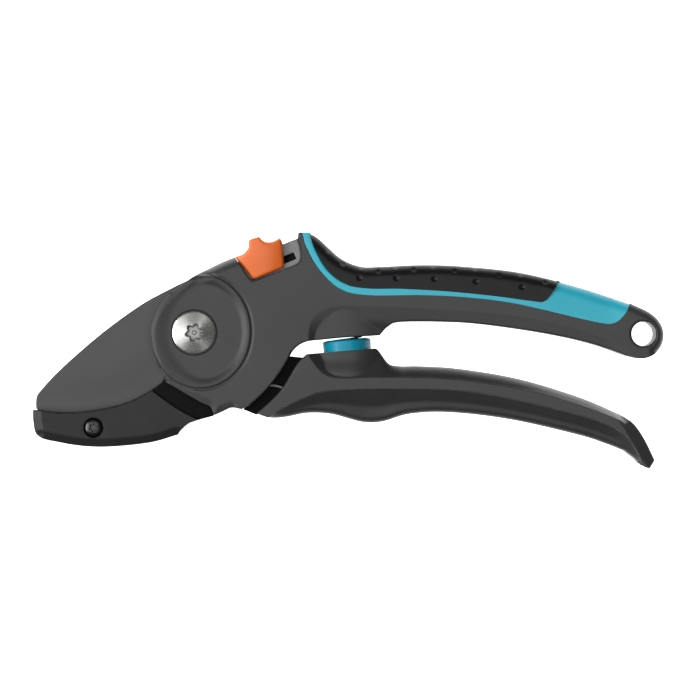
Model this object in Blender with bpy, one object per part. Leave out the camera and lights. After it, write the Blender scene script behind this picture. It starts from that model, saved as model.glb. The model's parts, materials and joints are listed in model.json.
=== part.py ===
"""Anvil pruner with a thumb lock and an adjustable opening spring.

The tool lies flat on its back. +X runs from the blade tip to the hanging hole, +Y from the lower
handle to the upper one, and +Z along the pivot. Outlines are in millimetres from the pivot, heights
are in millimetres from the middle plane, and every mesh is built in metres in the row frame.
"""

from math import cos, pi, radians, sin, tan

import bmesh
import bpy
from mathutils import Matrix, Vector

MM = 0.001
GAP = 0.3                       # air left between neighbouring pieces

# Where the pivot stands in the row frame
CENTRE_X = 52.1                 # pivot to the middle of the whole length
CENTRE_Y = -6.1                 # pivot to the middle of the whole width
MID_HEIGHT = 9.6                # middle plane above the ground

# Heights above the middle plane, one side
BODY = 9.6                      # half thickness of both handles and of the hub
BODY_ROUND = 2.4                # rounding of their long edges
CORE = 5.6                      # half thickness of the tongues under grips and lock
SLOT = 5.0                      # half width of the slot for the lever
SLOT_R = 19.0                   # round part of that slot
DISC_FACE = 8.2                 # recessed disc inside the hub ring
GROOVE_FACE = 8.9               # groove round the hub ring
JAW = 5.6                       # half thickness of the jaw arm
NECK = 4.4                      # half thickness of its neck
PLATE = 3.2                     # half width of the anvil plate
LEVER = 3.9                     # half thickness of the lever
FORK = 1.8                      # half width of the slot in its fork
BLADE = 1.5                     # half thickness of the blade

# Hub ring, an upright oval round the pivot bolt
RING_X, RING_Y = 2.1, 0.4
RING_RX, RING_RY = 16.9, 19.0
RING_WIDE = 2.3

# Pivot set
BOLT_R, BOLT_TOP = 7.5, 10.5
SHANK_R = 3.4
BUSH_IN, BUSH_OUT = 3.5, 5.0
EYE_IN = 5.08                   # running fit on the bush
STAR_R, STAR_WAVE = 3.05, 0.42
NUT_R, NUT_TOP = 7.0, 9.5

# Spring set: its axis leans back by TILT from +Y
AXIS_X, AXIS_Y = 51.9, -6.0
TILT = 4.7
SPRING_R, WIRE_R, COILS = 4.9, 0.55, 7
WIRE_SIDES = 6
SPRING_LOW, SPRING_HIGH = -9.4, 12.9
UPPER_BORE_R, UPPER_BORE_END = 6.2, 13.9
LOWER_BORE_R, LOWER_BORE_END = 6.4, -13.2
WHEEL_R, WHEEL_IN = 7.9, 5.9
WHEEL_LOW, WHEEL_RIM, WHEEL_HIGH = 0.35, 2.8, 3.5

# Lock
TRACK_ANGLE = 21.4              # the slider runs up this slope
LOCK_TRAVEL = 5.0
LOCK_FACE = 9.3
LOCK_SKIRT = CORE + GAP         # inner side of the slider's cheeks

# Hanging hole
HOLE_X, HOLE_Y, HOLE_R = 152.4, -0.4, 4.2
HOLE_CHAMFER = 1.0

# Fasteners and pins, as places from the pivot and radii
JAW_SCREW_X, JAW_SCREW_Y = -34.4, -32.3
NECK_PINS = ((-4.6, -17.6), (2.2, -20.6))
PIN_R = 1.4
RIVETS = ((14.4, -8.2), (22.2, -12.6))
RIVET_R = 1.5
LOCK_PIN_X, LOCK_PIN_Y, LOCK_PIN_R = 28.2, 23.8, 1.1
DETENT_X, DETENT_Y = 24.0, 22.4


# ---------------------------------------------------------------- outlines

def arc(cx, cy, rx, start, end, steps, ry=None):
    """Points on an arc or an oval from start to end, in degrees."""
    ry = ry or rx
    angles = [radians(start + (end - start) * i / steps) for i in range(steps + 1)]
    return [(cx + rx * cos(a), cy + ry * sin(a)) for a in angles]


def sweep(points, steps=3):
    """A Catmull-Rom curve through the points, ends included."""
    first = (2 * points[0][0] - points[1][0], 2 * points[0][1] - points[1][1])
    last = (2 * points[-1][0] - points[-2][0], 2 * points[-1][1] - points[-2][1])
    line = [first] + list(points) + [last]
    out = []
    for a, b, c, d in zip(line, line[1:], line[2:], line[3:]):
        for i in range(steps):
            t = i / steps
            out.append(tuple(
                0.5 * (2 * q + (r - p) * t + (2 * p - 5 * q + 4 * r - s) * t * t
                       + (3 * q - p - 3 * r + s) * t ** 3)
                for p, q, r, s in zip(a, b, c, d)))
    return out + [tuple(points[-1])]


def join_runs(*runs):
    """One closed outline from runs of points, with doubled joints dropped."""
    out = []
    for run in runs:
        for point in run:
            if not out or abs(point[0] - out[-1][0]) + abs(point[1] - out[-1][1]) > 0.02:
                out.append(point)
    return out


def moved(points, dx, dy):
    return [(x + dx, y + dy) for x, y in points]


def beside(points, distance):
    """The open line moved to its left by the distance."""
    before = [points[0]] + points[:-1]
    after = points[1:] + [points[-1]]
    out = []
    for (x, y), (ax, ay), (bx, by) in zip(points, before, after):
        dx, dy = bx - ax, by - ay
        length = (dx * dx + dy * dy) ** 0.5
        out.append((x - dy / length * distance, y + dx / length * distance))
    return out


def track_height(x):
    """Top of the lock's track, a straight slope."""
    return 32.0 + (x - 35.0) * tan(radians(TRACK_ANGLE))


def accent_lower():
    """Boundary between the grey body and the accent stripe, left to right."""
    return sweep([(36.4, 34.4), (38.0, 28.8), (42.4, 21.2), (49.5, 14.7), (59.1, 12.7), (78.1, 12.7),
                  (94.1, 11.8), (110.2, 9.6), (136.1, 3.6), (142.3, 3.3), (145.7, 6.0), (148.0, 10.6)])


def accent_upper():
    """Boundary between the accent stripe and the soft grip, left to right."""
    return sweep([(39.0, 34.6), (40.0, 30.5), (44.7, 21.7), (51.4, 16.4), (59.1, 14.9), (70.1, 14.8),
                  (86.1, 13.9), (102.2, 12.3), (114.2, 10.7), (118.6, 10.6), (121.8, 14.2), (124.2, 18.8)])


def handle_top():
    """Top edge of the upper handle, from the tail to the peak by the lock."""
    return sweep([(147.7, 9.8), (131.0, 15.3), (110.6, 20.4), (90.2, 22.6), (76.6, 23.0), (63.0, 22.4),
                  (56.2, 22.5), (49.4, 25.4), (41.8, 32.2), (38.0, 33.9), (35.3, 34.0)], 4)


def body_outline():
    hub_left = sweep([(-1.6, 18.2), (-6.0, 14.8), (-10.4, 10.7), (-13.5, 5.3), (-14.7, 0.9), (-14.3, -3.2),
                      (-13.3, -7.3), (-10.8, -11.7), (-9.8, -16.6)], 2)
    band = sweep([(-9.8, -16.6), (1.6, -23.2), (5.3, -25.0), (6.7, -27.8)], 2)
    foot = sweep([(6.9, -28.0), (9.6, -26.8), (12.6, -25.5), (16.1, -26.0)], 2)
    front = sweep([(16.1, -26.0), (20.6, -23.1), (26.1, -17.5), (30.7, -10.9), (33.4, -6.0),
                   (37.4, -3.2), (43.1, -2.4), (51.5, -1.6), (62.9, -0.9)], 3)
    under = sweep([(62.9, -0.9), (65.8, 2.1), (69.8, 3.6), (83.4, 3.7), (97.0, 2.9), (117.4, 0.0),
                   (133.7, -3.5), (147.1, -8.0)], 3)
    tail = arc(151.4, -0.9, 7.9, -110, 40, 12)
    track = [(35.0, track_height(35.0)), (14.6, track_height(14.6)), (13.4, 25.7)]
    hub_top = sweep([(13.4, 25.7), (8.6, 23.7), (1.8, 20.3), (-1.6, 18.2)], 2)
    return join_runs(hub_left, band, foot, front, under, tail, handle_top(), track, hub_top)[:-1]


def pocket_outline():
    """Pocket of the lock, open at the top."""
    low = [(18.5, 17.7), (19.4, 17.2), (20.9, 17.4)]
    return [(9.0, 32.6)] + low + [(30.4, 21.1), (35.6, 23.2), (36.4, 25.7), (36.1, 29.4), (35.0, 33.0), (33.0, 40.0)]


def lock_outline():
    return join_runs(
        sweep([(14.3, 25.7), (17.2, 27.2), (18.3, 28.8), (18.4, 30.9), (19.2, 31.7), (22.0, 32.6)], 3),
        sweep([(22.0, 32.6), (23.7, 31.0), (26.2, 30.8), (28.9, 32.1)], 3),
        sweep([(28.9, 32.1), (29.6, 31.0), (30.2, 26.5), (30.3, 22.4), (29.4, 21.7)], 2),
        sweep([(29.4, 21.7), (20.9, 18.2), (19.7, 18.0), (18.9, 18.9)], 2))


def lower_outline():
    rim = sweep([(38.1, -7.3), (34.8, -10.6), (30.0, -18.5), (25.5, -23.4), (20.9, -27.4)], 3)
    bottom = sweep([(20.9, -27.4), (25.8, -28.9), (31.3, -28.6), (38.3, -27.3), (46.6, -27.7), (57.0, -30.4),
                    (64.0, -30.2), (73.2, -27.6), (86.8, -27.1), (107.2, -29.5), (130.2, -34.9),
                    (146.9, -41.5)], 3)
    tip = sweep([(146.9, -41.5), (149.5, -43.9), (154.3, -46.2), (156.2, -43.8), (152.8, -36.0),
                 (148.8, -31.0), (144.9, -27.9)], 3)
    top = sweep([(144.9, -27.9), (131.3, -22.1), (110.6, -15.8), (90.2, -12.3), (76.6, -11.4), (69.8, -11.4),
                 (65.8, -10.4), (62.2, -5.8), (59.7, -5.5)], 3)
    shelf = [(59.7, -5.5), (43.9, -6.8)]
    return join_runs(rim, bottom, tip, top, shelf)


def lining_line():
    """Boundary between the shell of the lower handle and its soft lining, left to right."""
    return sweep([(23.6, -29.8), (29.3, -26.2), (37.6, -22.2), (46.6, -19.8), (69.8, -19.1), (94.1, -20.3),
                  (124.2, -26.5), (140.9, -31.9), (148.1, -37.6), (152.3, -46.5)])


def cutting_line():
    """Cutting edge of the closed blade, tip to heel."""
    return sweep([(-54.3, -26.0), (-50.3, -26.7), (-43.5, -27.1), (-36.6, -26.6), (-27.5, -25.0),
                  (-20.7, -22.7), (-13.9, -18.9)])


def blade_outline():
    heel = [(-11.2, -16.9), (-8.6, -11.4), (-4.0, -11.2), (4.0, -11.2), (12.5, -12.6)]
    tang = [(22.2, -18.6), (26.2, -12.8), (23.4, -8.8)]
    back = sweep([(11.5, 1.0), (9.0, 8.0), (4.5, 13.0), (-2.0, 17.9)], 3)
    spine = sweep([(-2.0, 17.9), (-8.4, 15.1), (-18.6, 9.4), (-32.2, -0.5), (-45.8, -12.4), (-52.6, -19.6),
                   (-54.2, -22.2), (-54.3, -26.0)], 3)
    return join_runs(cutting_line(), heel, tang, back, spine)[:-1]


def jaw_seat():
    """Top edge of the jaw arm, one gap under the cutting edge, tip to neck."""
    return moved(cutting_line()[:-1], 0.0, -GAP) + [(-14.3, -19.5)]


def jaw_outline():
    tip = sweep([(-55.1, -26.3), (-55.0, -29.9), (-54.2, -34.0), (-52.1, -35.9), (-49.5, -36.7)], 2)
    belly = sweep([(-49.5, -36.7), (-39.0, -38.5), (-28.8, -38.8), (-15.2, -37.4), (-5.9, -34.8)], 3)
    notch = sweep([(-5.9, -34.8), (-4.8, -33.3), (-2.5, -31.2), (0.4, -30.0), (6.3, -28.3)], 2)
    return join_runs(tip, belly, notch, [(0.9, -29.2), (-4.8, -26.4), (-9.3, -23.5), (-13.0, -20.7)],
                     list(reversed(jaw_seat())))[:-1]


def neck_outline():
    return [(-14.2, -21.5), (-10.9, -18.1), (-7.8, -15.4), (-3.0, -15.8), (2.4, -16.4), (5.0, -21.0),
            (6.2, -28.0), (0.4, -29.7), (-5.2, -28.0), (-10.2, -24.6)]


def lever_outline():
    eye = arc(0.0, 0.0, 12.0, 300, 8, 18)
    top = [(23.0, -4.4), (32.1, -8.0), (37.0, -8.5), (44.0, -9.4), (44.0, -17.5)]
    low = [(31.0, -25.0), (25.0, -27.2), (20.9, -27.9), (16.4, -26.1), (17.4, -24.9), (20.6, -21.9), (19.6, -20.2)]
    return join_runs(eye, top, low)


# ---------------------------------------------------------------- solids

def at(x, y, z):
    """A point given from the pivot and the middle plane, in the row frame."""
    return Vector(((x - CENTRE_X) * MM, (y - CENTRE_Y) * MM, (z + MID_HEIGHT) * MM))


def object_from(name, bm, helper=False):
    bmesh.ops.recalc_face_normals(bm, faces=bm.faces)
    mesh = bpy.data.meshes.new(name)
    bm.to_mesh(mesh)
    bm.free()
    obj = bpy.data.objects.new(name, mesh)
    bpy.context.scene.collection.objects.link(obj)
    if helper:
        obj.hide_render = True
        obj.display_type = 'WIRE'
    return obj


def prism(name, outline, low, high, helper=False):
    """The outline stood up between two heights."""
    bm = bmesh.new()
    face = bm.faces.new([bm.verts.new(at(x, y, low)) for x, y in outline])
    raised = bmesh.ops.extrude_face_region(bm, geom=[face])
    lifted = [v for v in raised["geom"] if isinstance(v, bmesh.types.BMVert)]
    bmesh.ops.translate(bm, verts=lifted, vec=(0, 0, (high - low) * MM))
    return object_from(name, bm, helper)


def turned(name, profile, x, y, steps=32, lean=None, helper=False):
    """A profile of (radius, height) turned round a pivot-parallel axis, or round the spring's axis if lean is set."""
    bm = bmesh.new()
    verts = [bm.verts.new((r * MM, 0, h * MM)) for r, h in profile]
    pairs = list(zip(verts, verts[1:]))
    if profile[0][0] > 0:
        pairs.append((verts[-1], verts[0]))
    edges = [bm.edges.new(pair) for pair in pairs]
    bmesh.ops.spin(bm, geom=verts + edges, axis=(0, 0, 1), cent=(0, 0, 0), steps=steps, angle=2 * pi, use_merge=True)
    bmesh.ops.remove_doubles(bm, verts=bm.verts, dist=1e-6)
    place = Matrix.Translation(at(x, y, 0))
    if lean is not None:
        place = place @ Matrix.Rotation(radians(lean), 4, 'Z') @ Matrix.Rotation(radians(-90), 4, 'X')
    bm.transform(place)
    return object_from(name, bm, helper)


def round_edges(obj, width, segments=3, angle=40):
    modifier = obj.modifiers.new("edges", 'BEVEL')
    modifier.width = width * MM
    modifier.segments = segments
    modifier.limit_method = 'ANGLE'
    modifier.angle_limit = radians(angle)
    return obj


def boolean(obj, other, operation):
    modifier = obj.modifiers.new(operation.lower(), 'BOOLEAN')
    modifier.object = other
    modifier.operation = operation
    modifier.solver = 'EXACT'
    return obj


def cut(obj, cutter):
    return boolean(obj, cutter, 'DIFFERENCE')


def both_sides(obj, outline, inner, outer=14.0):
    """Cuts the outline from the front and the back down to the inner height."""
    cut(obj, prism("cutter", outline, inner, outer, helper=True))
    cut(obj, prism("cutter", outline, -outer, -inner, helper=True))


def drill(obj, x, y, radius, low, high, steps=24):
    return cut(obj, prism("cutter", arc(x, y, radius, 0, 360 * (1 - 1 / steps), steps - 1), low, high, helper=True))


def ring_cut(obj, x, y, outer, inner, face):
    """Cuts an oval ring from both sides. outer and inner are (rx, ry)."""
    for low, high in ((face, 14.0), (-14.0, -face)):
        band = prism("cutter", arc(x, y, outer[0], 0, 350, 35, outer[1]), low, high, helper=True)
        if inner:
            cut(band, prism("cutter", arc(x, y, inner[0], 0, 350, 35, inner[1]), low - 1, high + 1, helper=True))
        cut(obj, band)


def spring_bore(obj, radius, low, high):
    return cut(obj, turned("cutter", [(0, low), (radius, low), (radius, high), (0, high)],
                           AXIS_X, AXIS_Y, 28, TILT, helper=True))


# ---------------------------------------------------------------- materials

def material(name, colour, roughness, metallic=0.0):
    made = bpy.data.materials.new(name)
    made.use_nodes = True
    shader = made.node_tree.nodes["Principled BSDF"]
    shader.inputs["Base Color"].default_value = (*colour, 1.0)
    shader.inputs["Roughness"].default_value = roughness
    shader.inputs["Metallic"].default_value = metallic
    return made


def make_materials():
    return {
        "nylon": material("grey_nylon", (0.075, 0.075, 0.074), 0.55),
        "jaw": material("dark_nylon", (0.038, 0.038, 0.038), 0.5),
        "black": material("black_nylon", (0.010, 0.010, 0.010), 0.55),
        "accent": material("turquoise", (0.015, 0.34, 0.44), 0.5),
        "soft": material("soft_black", (0.022, 0.022, 0.022), 0.75),
        "lining": material("soft_lining", (0.030, 0.030, 0.030), 0.7),
        "lock": material("orange", (0.80, 0.16, 0.035), 0.42),
        "wheel": material("wheel_turquoise", (0.008, 0.24, 0.33), 0.4),
        "blade": material("coated_blade", (0.095, 0.095, 0.093), 0.34, 0.45),
        "steel": material("steel", (0.60, 0.60, 0.60), 0.25, 1.0),
        "dark_steel": material("dark_steel", (0.10, 0.10, 0.10), 0.4, 0.9),
        "anvil": material("anvil_alloy", (0.35, 0.35, 0.36), 0.45, 0.9),
    }


# ---------------------------------------------------------------- upper handle

def crown(raised):
    """Top of the body's tongue under the grip, from the tail to the peak."""
    line = [p for p in moved(handle_top(), 0.0, -2.8) if 40.0 < p[0] < 144.0]
    return moved(line + [(36.3, 31.4)], 0.0, raised)


def make_upper_handle():
    body = prism("upper_handle", body_outline(), -BODY, BODY)
    round_edges(body, BODY_ROUND, 3)
    over = accent_lower() + [(160.0, 16.0), (150.0, 45.0), (36.4, 45.0)]
    both_sides(body, over, CORE)
    above = [(148.0, 10.6), (146.3, 7.2), (144.6, 8.3)] + crown(0.0) + [(36.4, 50.0), (152.0, 50.0)]
    cut(body, prism("cutter", above, -14, 14, helper=True))
    both_sides(body, pocket_outline(), CORE)
    open_side = [(-3.0, 24.0), (-30.0, 24.0), (-30.0, -40.0), (44.0, -40.0), (44.0, -5.0), (34.5, -5.8)]
    slot = arc(0.0, 0.0, SLOT_R, -5, 93, 16) + open_side
    cut(body, prism("cutter", slot, -SLOT, SLOT, helper=True))
    ring_cut(body, RING_X, RING_Y, (RING_RX - RING_WIDE, RING_RY - RING_WIDE), None, DISC_FACE)
    ring_cut(body, RING_X, RING_Y, (RING_RX + 1.6, RING_RY + 1.6), (RING_RX, RING_RY), GROOVE_FACE)
    drill(body, 0.0, 0.0, 8.0, 7.4, 14.0, 32)
    drill(body, 0.0, 0.0, NUT_R + 0.4, -14.0, -7.4, 32)
    drill(body, 0.0, 0.0, SHANK_R + 0.06, -14.0, 14.0)
    for x, y in NECK_PINS:
        drill(body, x, y, PIN_R + 0.05, -7.6, 7.6, 12)
    spring_bore(body, UPPER_BORE_R, 0.0, UPPER_BORE_END)
    cut_lock_details(body)
    rim_r = HOLE_R + HOLE_CHAMFER + 0.4
    cut(body, turned("cutter", [(0, -14), (rim_r + 4, -14), (rim_r, -BODY - 0.4), (HOLE_R, -BODY + HOLE_CHAMFER),
                                (HOLE_R, BODY - HOLE_CHAMFER), (rim_r, BODY + 0.4), (rim_r + 4, 14), (0, 14)],
                     HOLE_X, HOLE_Y, 28, helper=True))
    return body


def slope(x, y, along, up):
    """A point from (x, y), along and up in the lock track's own directions."""
    a = radians(TRACK_ANGLE)
    return (x + along * cos(a) - up * sin(a), y + along * sin(a) + up * cos(a))


def cut_lock_details(body):
    """The slot that the slider's pin runs in, and the recess of its leaf spring."""
    half = LOCK_PIN_R + 0.25
    slot = [slope(LOCK_PIN_X, LOCK_PIN_Y, a, u)
            for a, u in ((-half, -half), (LOCK_TRAVEL + half, -half), (LOCK_TRAVEL + half, half), (-half, half))]
    cut(body, prism("cutter", slot, -14, 14, helper=True))
    recess = [slope(DETENT_X, DETENT_Y, a, u) for a, u in ((-4.8, 1.0), (2.2, 1.0), (2.2, 3.6), (-4.8, 3.6))]
    cut(body, prism("cutter", recess, -14, 14, helper=True))


def make_accent():
    lower = beside(accent_lower(), GAP)
    upper = accent_upper()
    block_top = [p for p in handle_top() if 124.3 < p[0] < 147.0]
    peak = [(39.1, 33.5), (36.9, 33.9)]
    piece = prism("upper_handle_accent", join_runs(lower[1:-2], block_top, upper[-2:1:-1], peak), -BODY, BODY)
    round_edges(piece, 1.6, 2, 60)
    return hollow_over_core(piece)


def make_grip():
    line = beside(accent_upper(), GAP)
    top = [p for p in handle_top() if 39.9 < p[0] < 122.8]
    piece = prism("upper_handle_grip", join_runs(line[2:-2], top), -BODY, BODY)
    round_edges(piece, 2.2, 3, 50)
    return hollow_over_core(piece)


def hollow_over_core(piece):
    """Takes the body's tongue, with its gap, out of a piece that wraps it."""
    under = [(36.0, 0.0), (160.0, -10.0), (160.0, 7.5), (146.6, 7.5), (144.6, 8.6)]
    cut(piece, prism("cutter", under + crown(GAP), -CORE - GAP, CORE + GAP, helper=True))
    return piece


# ---------------------------------------------------------------- jaw

def make_carrier():
    jaw = prism("anvil_carrier", jaw_outline(), -JAW, JAW)
    round_edges(jaw, 1.3, 2, 55)
    boolean(jaw, prism("cutter", neck_outline(), -NECK, NECK, helper=True), 'UNION')
    plate = plate_outline(GAP)
    cut(jaw, prism("cutter", plate, -PLATE - GAP, PLATE + GAP, helper=True))
    drill(jaw, JAW_SCREW_X, JAW_SCREW_Y, 1.6, -14, 14, 16)
    drill(jaw, JAW_SCREW_X, JAW_SCREW_Y, 3.3, JAW - 1.4, 14, 24)
    drill(jaw, JAW_SCREW_X, JAW_SCREW_Y, 3.3, -14, -JAW + 1.6, 24)
    for x, y in NECK_PINS:
        drill(jaw, x, y, PIN_R + 0.05, -14, 14, 12)
    return jaw


def plate_outline(grow=0.0):
    """The anvil plate with its lug round the cross screw."""
    top = moved(cutting_line()[3:-3], 0.0, -GAP)
    if grow:
        top = moved(cutting_line()[2:-2], 0.0, 2.0)
    low = [(-21.0 + grow, -25.6 - grow), (-27.0, -28.4 - grow), (-31.0 + grow, -29.4 - grow),
           (-31.6 + grow, -34.6 - grow), (-37.2 - grow, -34.6 - grow), (-37.6 - grow, -30.0 - grow),
           (-50.0 - grow, -29.6 - grow)]
    return join_runs(top, low)


def make_plate():
    plate = prism("anvil_plate", plate_outline(), -PLATE, PLATE)
    drill(plate, JAW_SCREW_X, JAW_SCREW_Y, 1.6, -14, 14, 16)
    return plate


def make_anvil_screw():
    head = JAW - 1.4 + GAP
    profile = [(0, -JAW + 0.4), (1.3, -JAW + 0.4), (1.3, head), (3.05, head), (3.05, JAW + 0.1), (2.5, JAW + 0.5), (0, JAW + 0.5)]
    screw = turned("anvil_screw", profile, JAW_SCREW_X, JAW_SCREW_Y, 24)
    star = [(JAW_SCREW_X + r * cos(a), JAW_SCREW_Y + r * sin(a)) for r, a in star_points(1.35, 0.2)]
    return cut(screw, prism("cutter", star, JAW - 0.4, 14, helper=True))


def make_anvil_nut():
    nut = turned("anvil_nut", [(1.6, -JAW + 0.1), (2.9, -JAW + 0.1), (2.9, -JAW + 1.3), (1.6, -JAW + 1.3)],
                 JAW_SCREW_X, JAW_SCREW_Y, 6)
    return nut


def make_neck_pin(number, x, y):
    return turned(f"anvil_pin_{number}", [(0, -7.2), (PIN_R - 0.25, -7.2), (PIN_R - 0.25, 7.2), (0, 7.2)], x, y, 12)


# ---------------------------------------------------------------- pivot

def star_points(radius, wave, lobes=6, per_lobe=6):
    """A rounded star, as (radius, angle) pairs."""
    count = lobes * per_lobe
    return [(radius + wave * cos(lobes * 2 * pi * i / count), 2 * pi * i / count) for i in range(count)]


def make_bolt():
    profile = [(0, -7.0), (SHANK_R, -7.0), (SHANK_R, 7.7), (BOLT_R, 7.7), (BOLT_R, 9.3), (7.1, 9.7),
               (5.2, 10.25), (3.9, BOLT_TOP), (0, BOLT_TOP)]
    bolt = turned("pivot_bolt", profile, 0, 0, 40)
    star = [(r * cos(a), r * sin(a)) for r, a in star_points(STAR_R, STAR_WAVE)]
    cut(bolt, prism("cutter", star, 8.6, 14, helper=True))
    return bolt


def make_nut():
    profile = [(SHANK_R + 0.15, -7.8), (NUT_R, -7.8), (NUT_R, -8.9), (NUT_R - 0.6, -NUT_TOP),
               (SHANK_R + 0.15, -NUT_TOP)]
    nut = turned("pivot_nut", profile, 0, 0, 32)
    for side in (0, 180):
        x, y = 5.3 * cos(radians(side)), 5.3 * sin(radians(side))
        drill(nut, x, y, 0.8, -14, -8.7, 12)
    return nut


def make_bush():
    return turned("pivot_bush", [(BUSH_IN, -4.6), (BUSH_OUT, -4.6), (BUSH_OUT, 4.6), (BUSH_IN, 4.6)], 0, 0, 40)


def make_washer(name, side):
    low, high = sorted((side * (LEVER + 0.2), side * (SLOT - 0.2)))
    return turned(name, [(BUSH_OUT + 0.3, low), (10.0, low), (10.0, high), (BUSH_OUT + 0.3, high)], 0, 0, 32)


# ---------------------------------------------------------------- lock

def make_slider():
    slider = prism("lock_slider", lock_outline(), -LOCK_FACE, LOCK_FACE)
    round_edges(slider, 0.8, 2, 60)
    rise = GAP * 1.5
    web = [(5.0, track_height(5.0) + rise), (5.0, 0.0), (45.0, 0.0), (45.0, track_height(45.0) + rise)]
    cut(slider, prism("cutter", web, -LOCK_SKIRT, LOCK_SKIRT, helper=True))
    drill(slider, LOCK_PIN_X, LOCK_PIN_Y, LOCK_PIN_R + 0.05, -7.8, 7.8, 16)
    return slider


def make_lock_pin():
    r = LOCK_PIN_R - 0.2
    return turned("lock_pin", [(0, -7.5), (r, -7.5), (r, 7.5), (0, 7.5)], LOCK_PIN_X, LOCK_PIN_Y, 16)


def make_detent():
    """A bowed leaf lying in the web's recess."""
    lower = [slope(DETENT_X, DETENT_Y, a, 1.4 + 1.2 * cos(pi * a / 6.4)) for a in (-3.2, -2.1, -1.1, 0.0, 0.9, 1.6)]
    leaf = [(x - 0.9, y - 0.35) for x, y in lower]
    return prism("lock_detent_spring", leaf + [(x, y + 0.4) for x, y in reversed(leaf)], -4.0, 4.0)


# ---------------------------------------------------------------- lower lever

def lining_tongue(shift):
    """Underside of the shell's tongue inside the lining, left to right."""
    line = [p for p in moved(lining_line(), 0.0, -3.0) if 29.0 < p[0] < 145.5]
    return moved([(10.0, -28.0)] + line + [(148.1, -40.9), (151.8, -48.0)], 0.0, shift)


def make_lower_handle():
    shell = prism("lower_handle", lower_outline(), -BODY, BODY)
    round_edges(shell, BODY_ROUND, 3, 50)
    soft = lining_line() + [(160.0, -60.0), (15.0, -60.0)]
    both_sides(shell, soft, CORE)
    tongue = lining_tongue(0.0)
    cut(shell, prism("cutter", tongue + [(154.5, -62.0), (10.0, -62.0)], -14, 14, helper=True))
    pocket = [(10.0, 6.0), (44.4, 6.0), (44.4, -17.9), (31.2, -25.5), (10.0, -33.0)]
    cut(shell, prism("cutter", pocket, -LEVER - GAP, LEVER + GAP, helper=True))
    spring_bore(shell, LOWER_BORE_R, LOWER_BORE_END, 4.0)
    return shell


def make_lining():
    line = moved(lining_line(), 0.0, -GAP)
    bottom = sweep([(25.8, -28.9), (31.3, -28.6), (38.3, -27.3), (46.6, -27.7), (57.0, -30.4), (64.0, -30.2),
                    (73.2, -27.6), (86.8, -27.1), (107.2, -29.5), (130.2, -34.9), (146.9, -41.5),
                    (149.5, -43.7), (151.0, -44.6)], 3)
    start = [p for p in line if 25.6 < p[0] < 151.2]
    piece = prism("lower_handle_grip", join_runs(start, bottom[::-1]), -9.2, 9.2)
    round_edges(piece, 1.8, 2, 60)
    keep = lining_tongue(-GAP) + [(160.0, -48.0), (160.0, 0.0), (10.0, 0.0)]
    cut(piece, prism("cutter", keep, -CORE - GAP, CORE + GAP, helper=True))
    return piece


def make_lever():
    lever = prism("lever_insert", lever_outline(), -LEVER, LEVER)
    cut(lever, prism("cutter", [(-30.0, -40.0), (16.0, -24.4), (22.5, -20.0), (28.4, -12.4), (25.5, -4.0), (20.0, 30.0),
                                (-30.0, 30.0)], -FORK, FORK, helper=True))
    drill(lever, 0.0, 0.0, EYE_IN, -14, 14, 40)
    for x, y in RIVETS:
        drill(lever, x, y, RIVET_R + 0.25, -14, 14, 16)
    return lever


def make_blade():
    blade = prism("blade", blade_outline(), -BLADE, BLADE)
    edge = cutting_line()
    for side in (1, -1):
        grind(blade, edge, side)
    drill(blade, 0.0, 0.0, EYE_IN, -14, 14, 40)
    for x, y in RIVETS:
        drill(blade, x, y, RIVET_R + 0.25, -14, 14, 16)
    return blade


def grind(blade, edge, side):
    """Takes the bevel off one side of the cutting edge, a strip 4.5 mm wide."""
    bm = bmesh.new()
    rows = []
    for x, y in [(edge[0][0] - 3, edge[0][1])] + edge + [(edge[-1][0] + 3.4, edge[-1][1] + 2.4)]:
        corners = ((y - 1.5, 0.05), (y + 4.5, BLADE + 0.02), (y + 4.5, BLADE + 3), (y - 1.5, BLADE + 3))
        rows.append([bm.verts.new(at(x, cy, side * cz)) for cy, cz in corners])
    for a, b in zip(rows, rows[1:]):
        for i in range(4):
            bm.faces.new((a[i], a[(i + 1) % 4], b[(i + 1) % 4], b[i]))
    bm.faces.new(rows[0])
    bm.faces.new(rows[-1])
    cut(blade, object_from("cutter", bm, helper=True))


def make_rivet(number, x, y):
    profile = [(0, -LEVER + 0.1), (RIVET_R, -LEVER + 0.1), (RIVET_R, LEVER - 0.1), (0, LEVER - 0.1)]
    return turned(f"blade_rivet_{number}", profile, x, y, 16)


# ---------------------------------------------------------------- spring set

def make_wheel():
    """A scalloped ring with a domed top."""
    profile = [(WHEEL_IN, WHEEL_LOW), (WHEEL_R, WHEEL_LOW), (WHEEL_R, WHEEL_RIM), (WHEEL_R - 0.7, WHEEL_HIGH),
               (WHEEL_IN, WHEEL_HIGH)]
    return turned("adjuster_wheel", profile, AXIS_X, AXIS_Y, 48, TILT)


def make_seat():
    """A cup with a peg that centres the spring."""
    low = SPRING_LOW - 2.6
    profile = [(0, low), (5.9, low), (5.9, low + 3.6), (5.6, low + 3.6), (5.6, low + 2.1), (3.6, low + 2.1),
               (3.6, low + 5.2), (3.2, low + 5.6), (0, low + 5.6)]
    return turned("spring_seat", profile, AXIS_X, AXIS_Y, 28, TILT)


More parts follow.
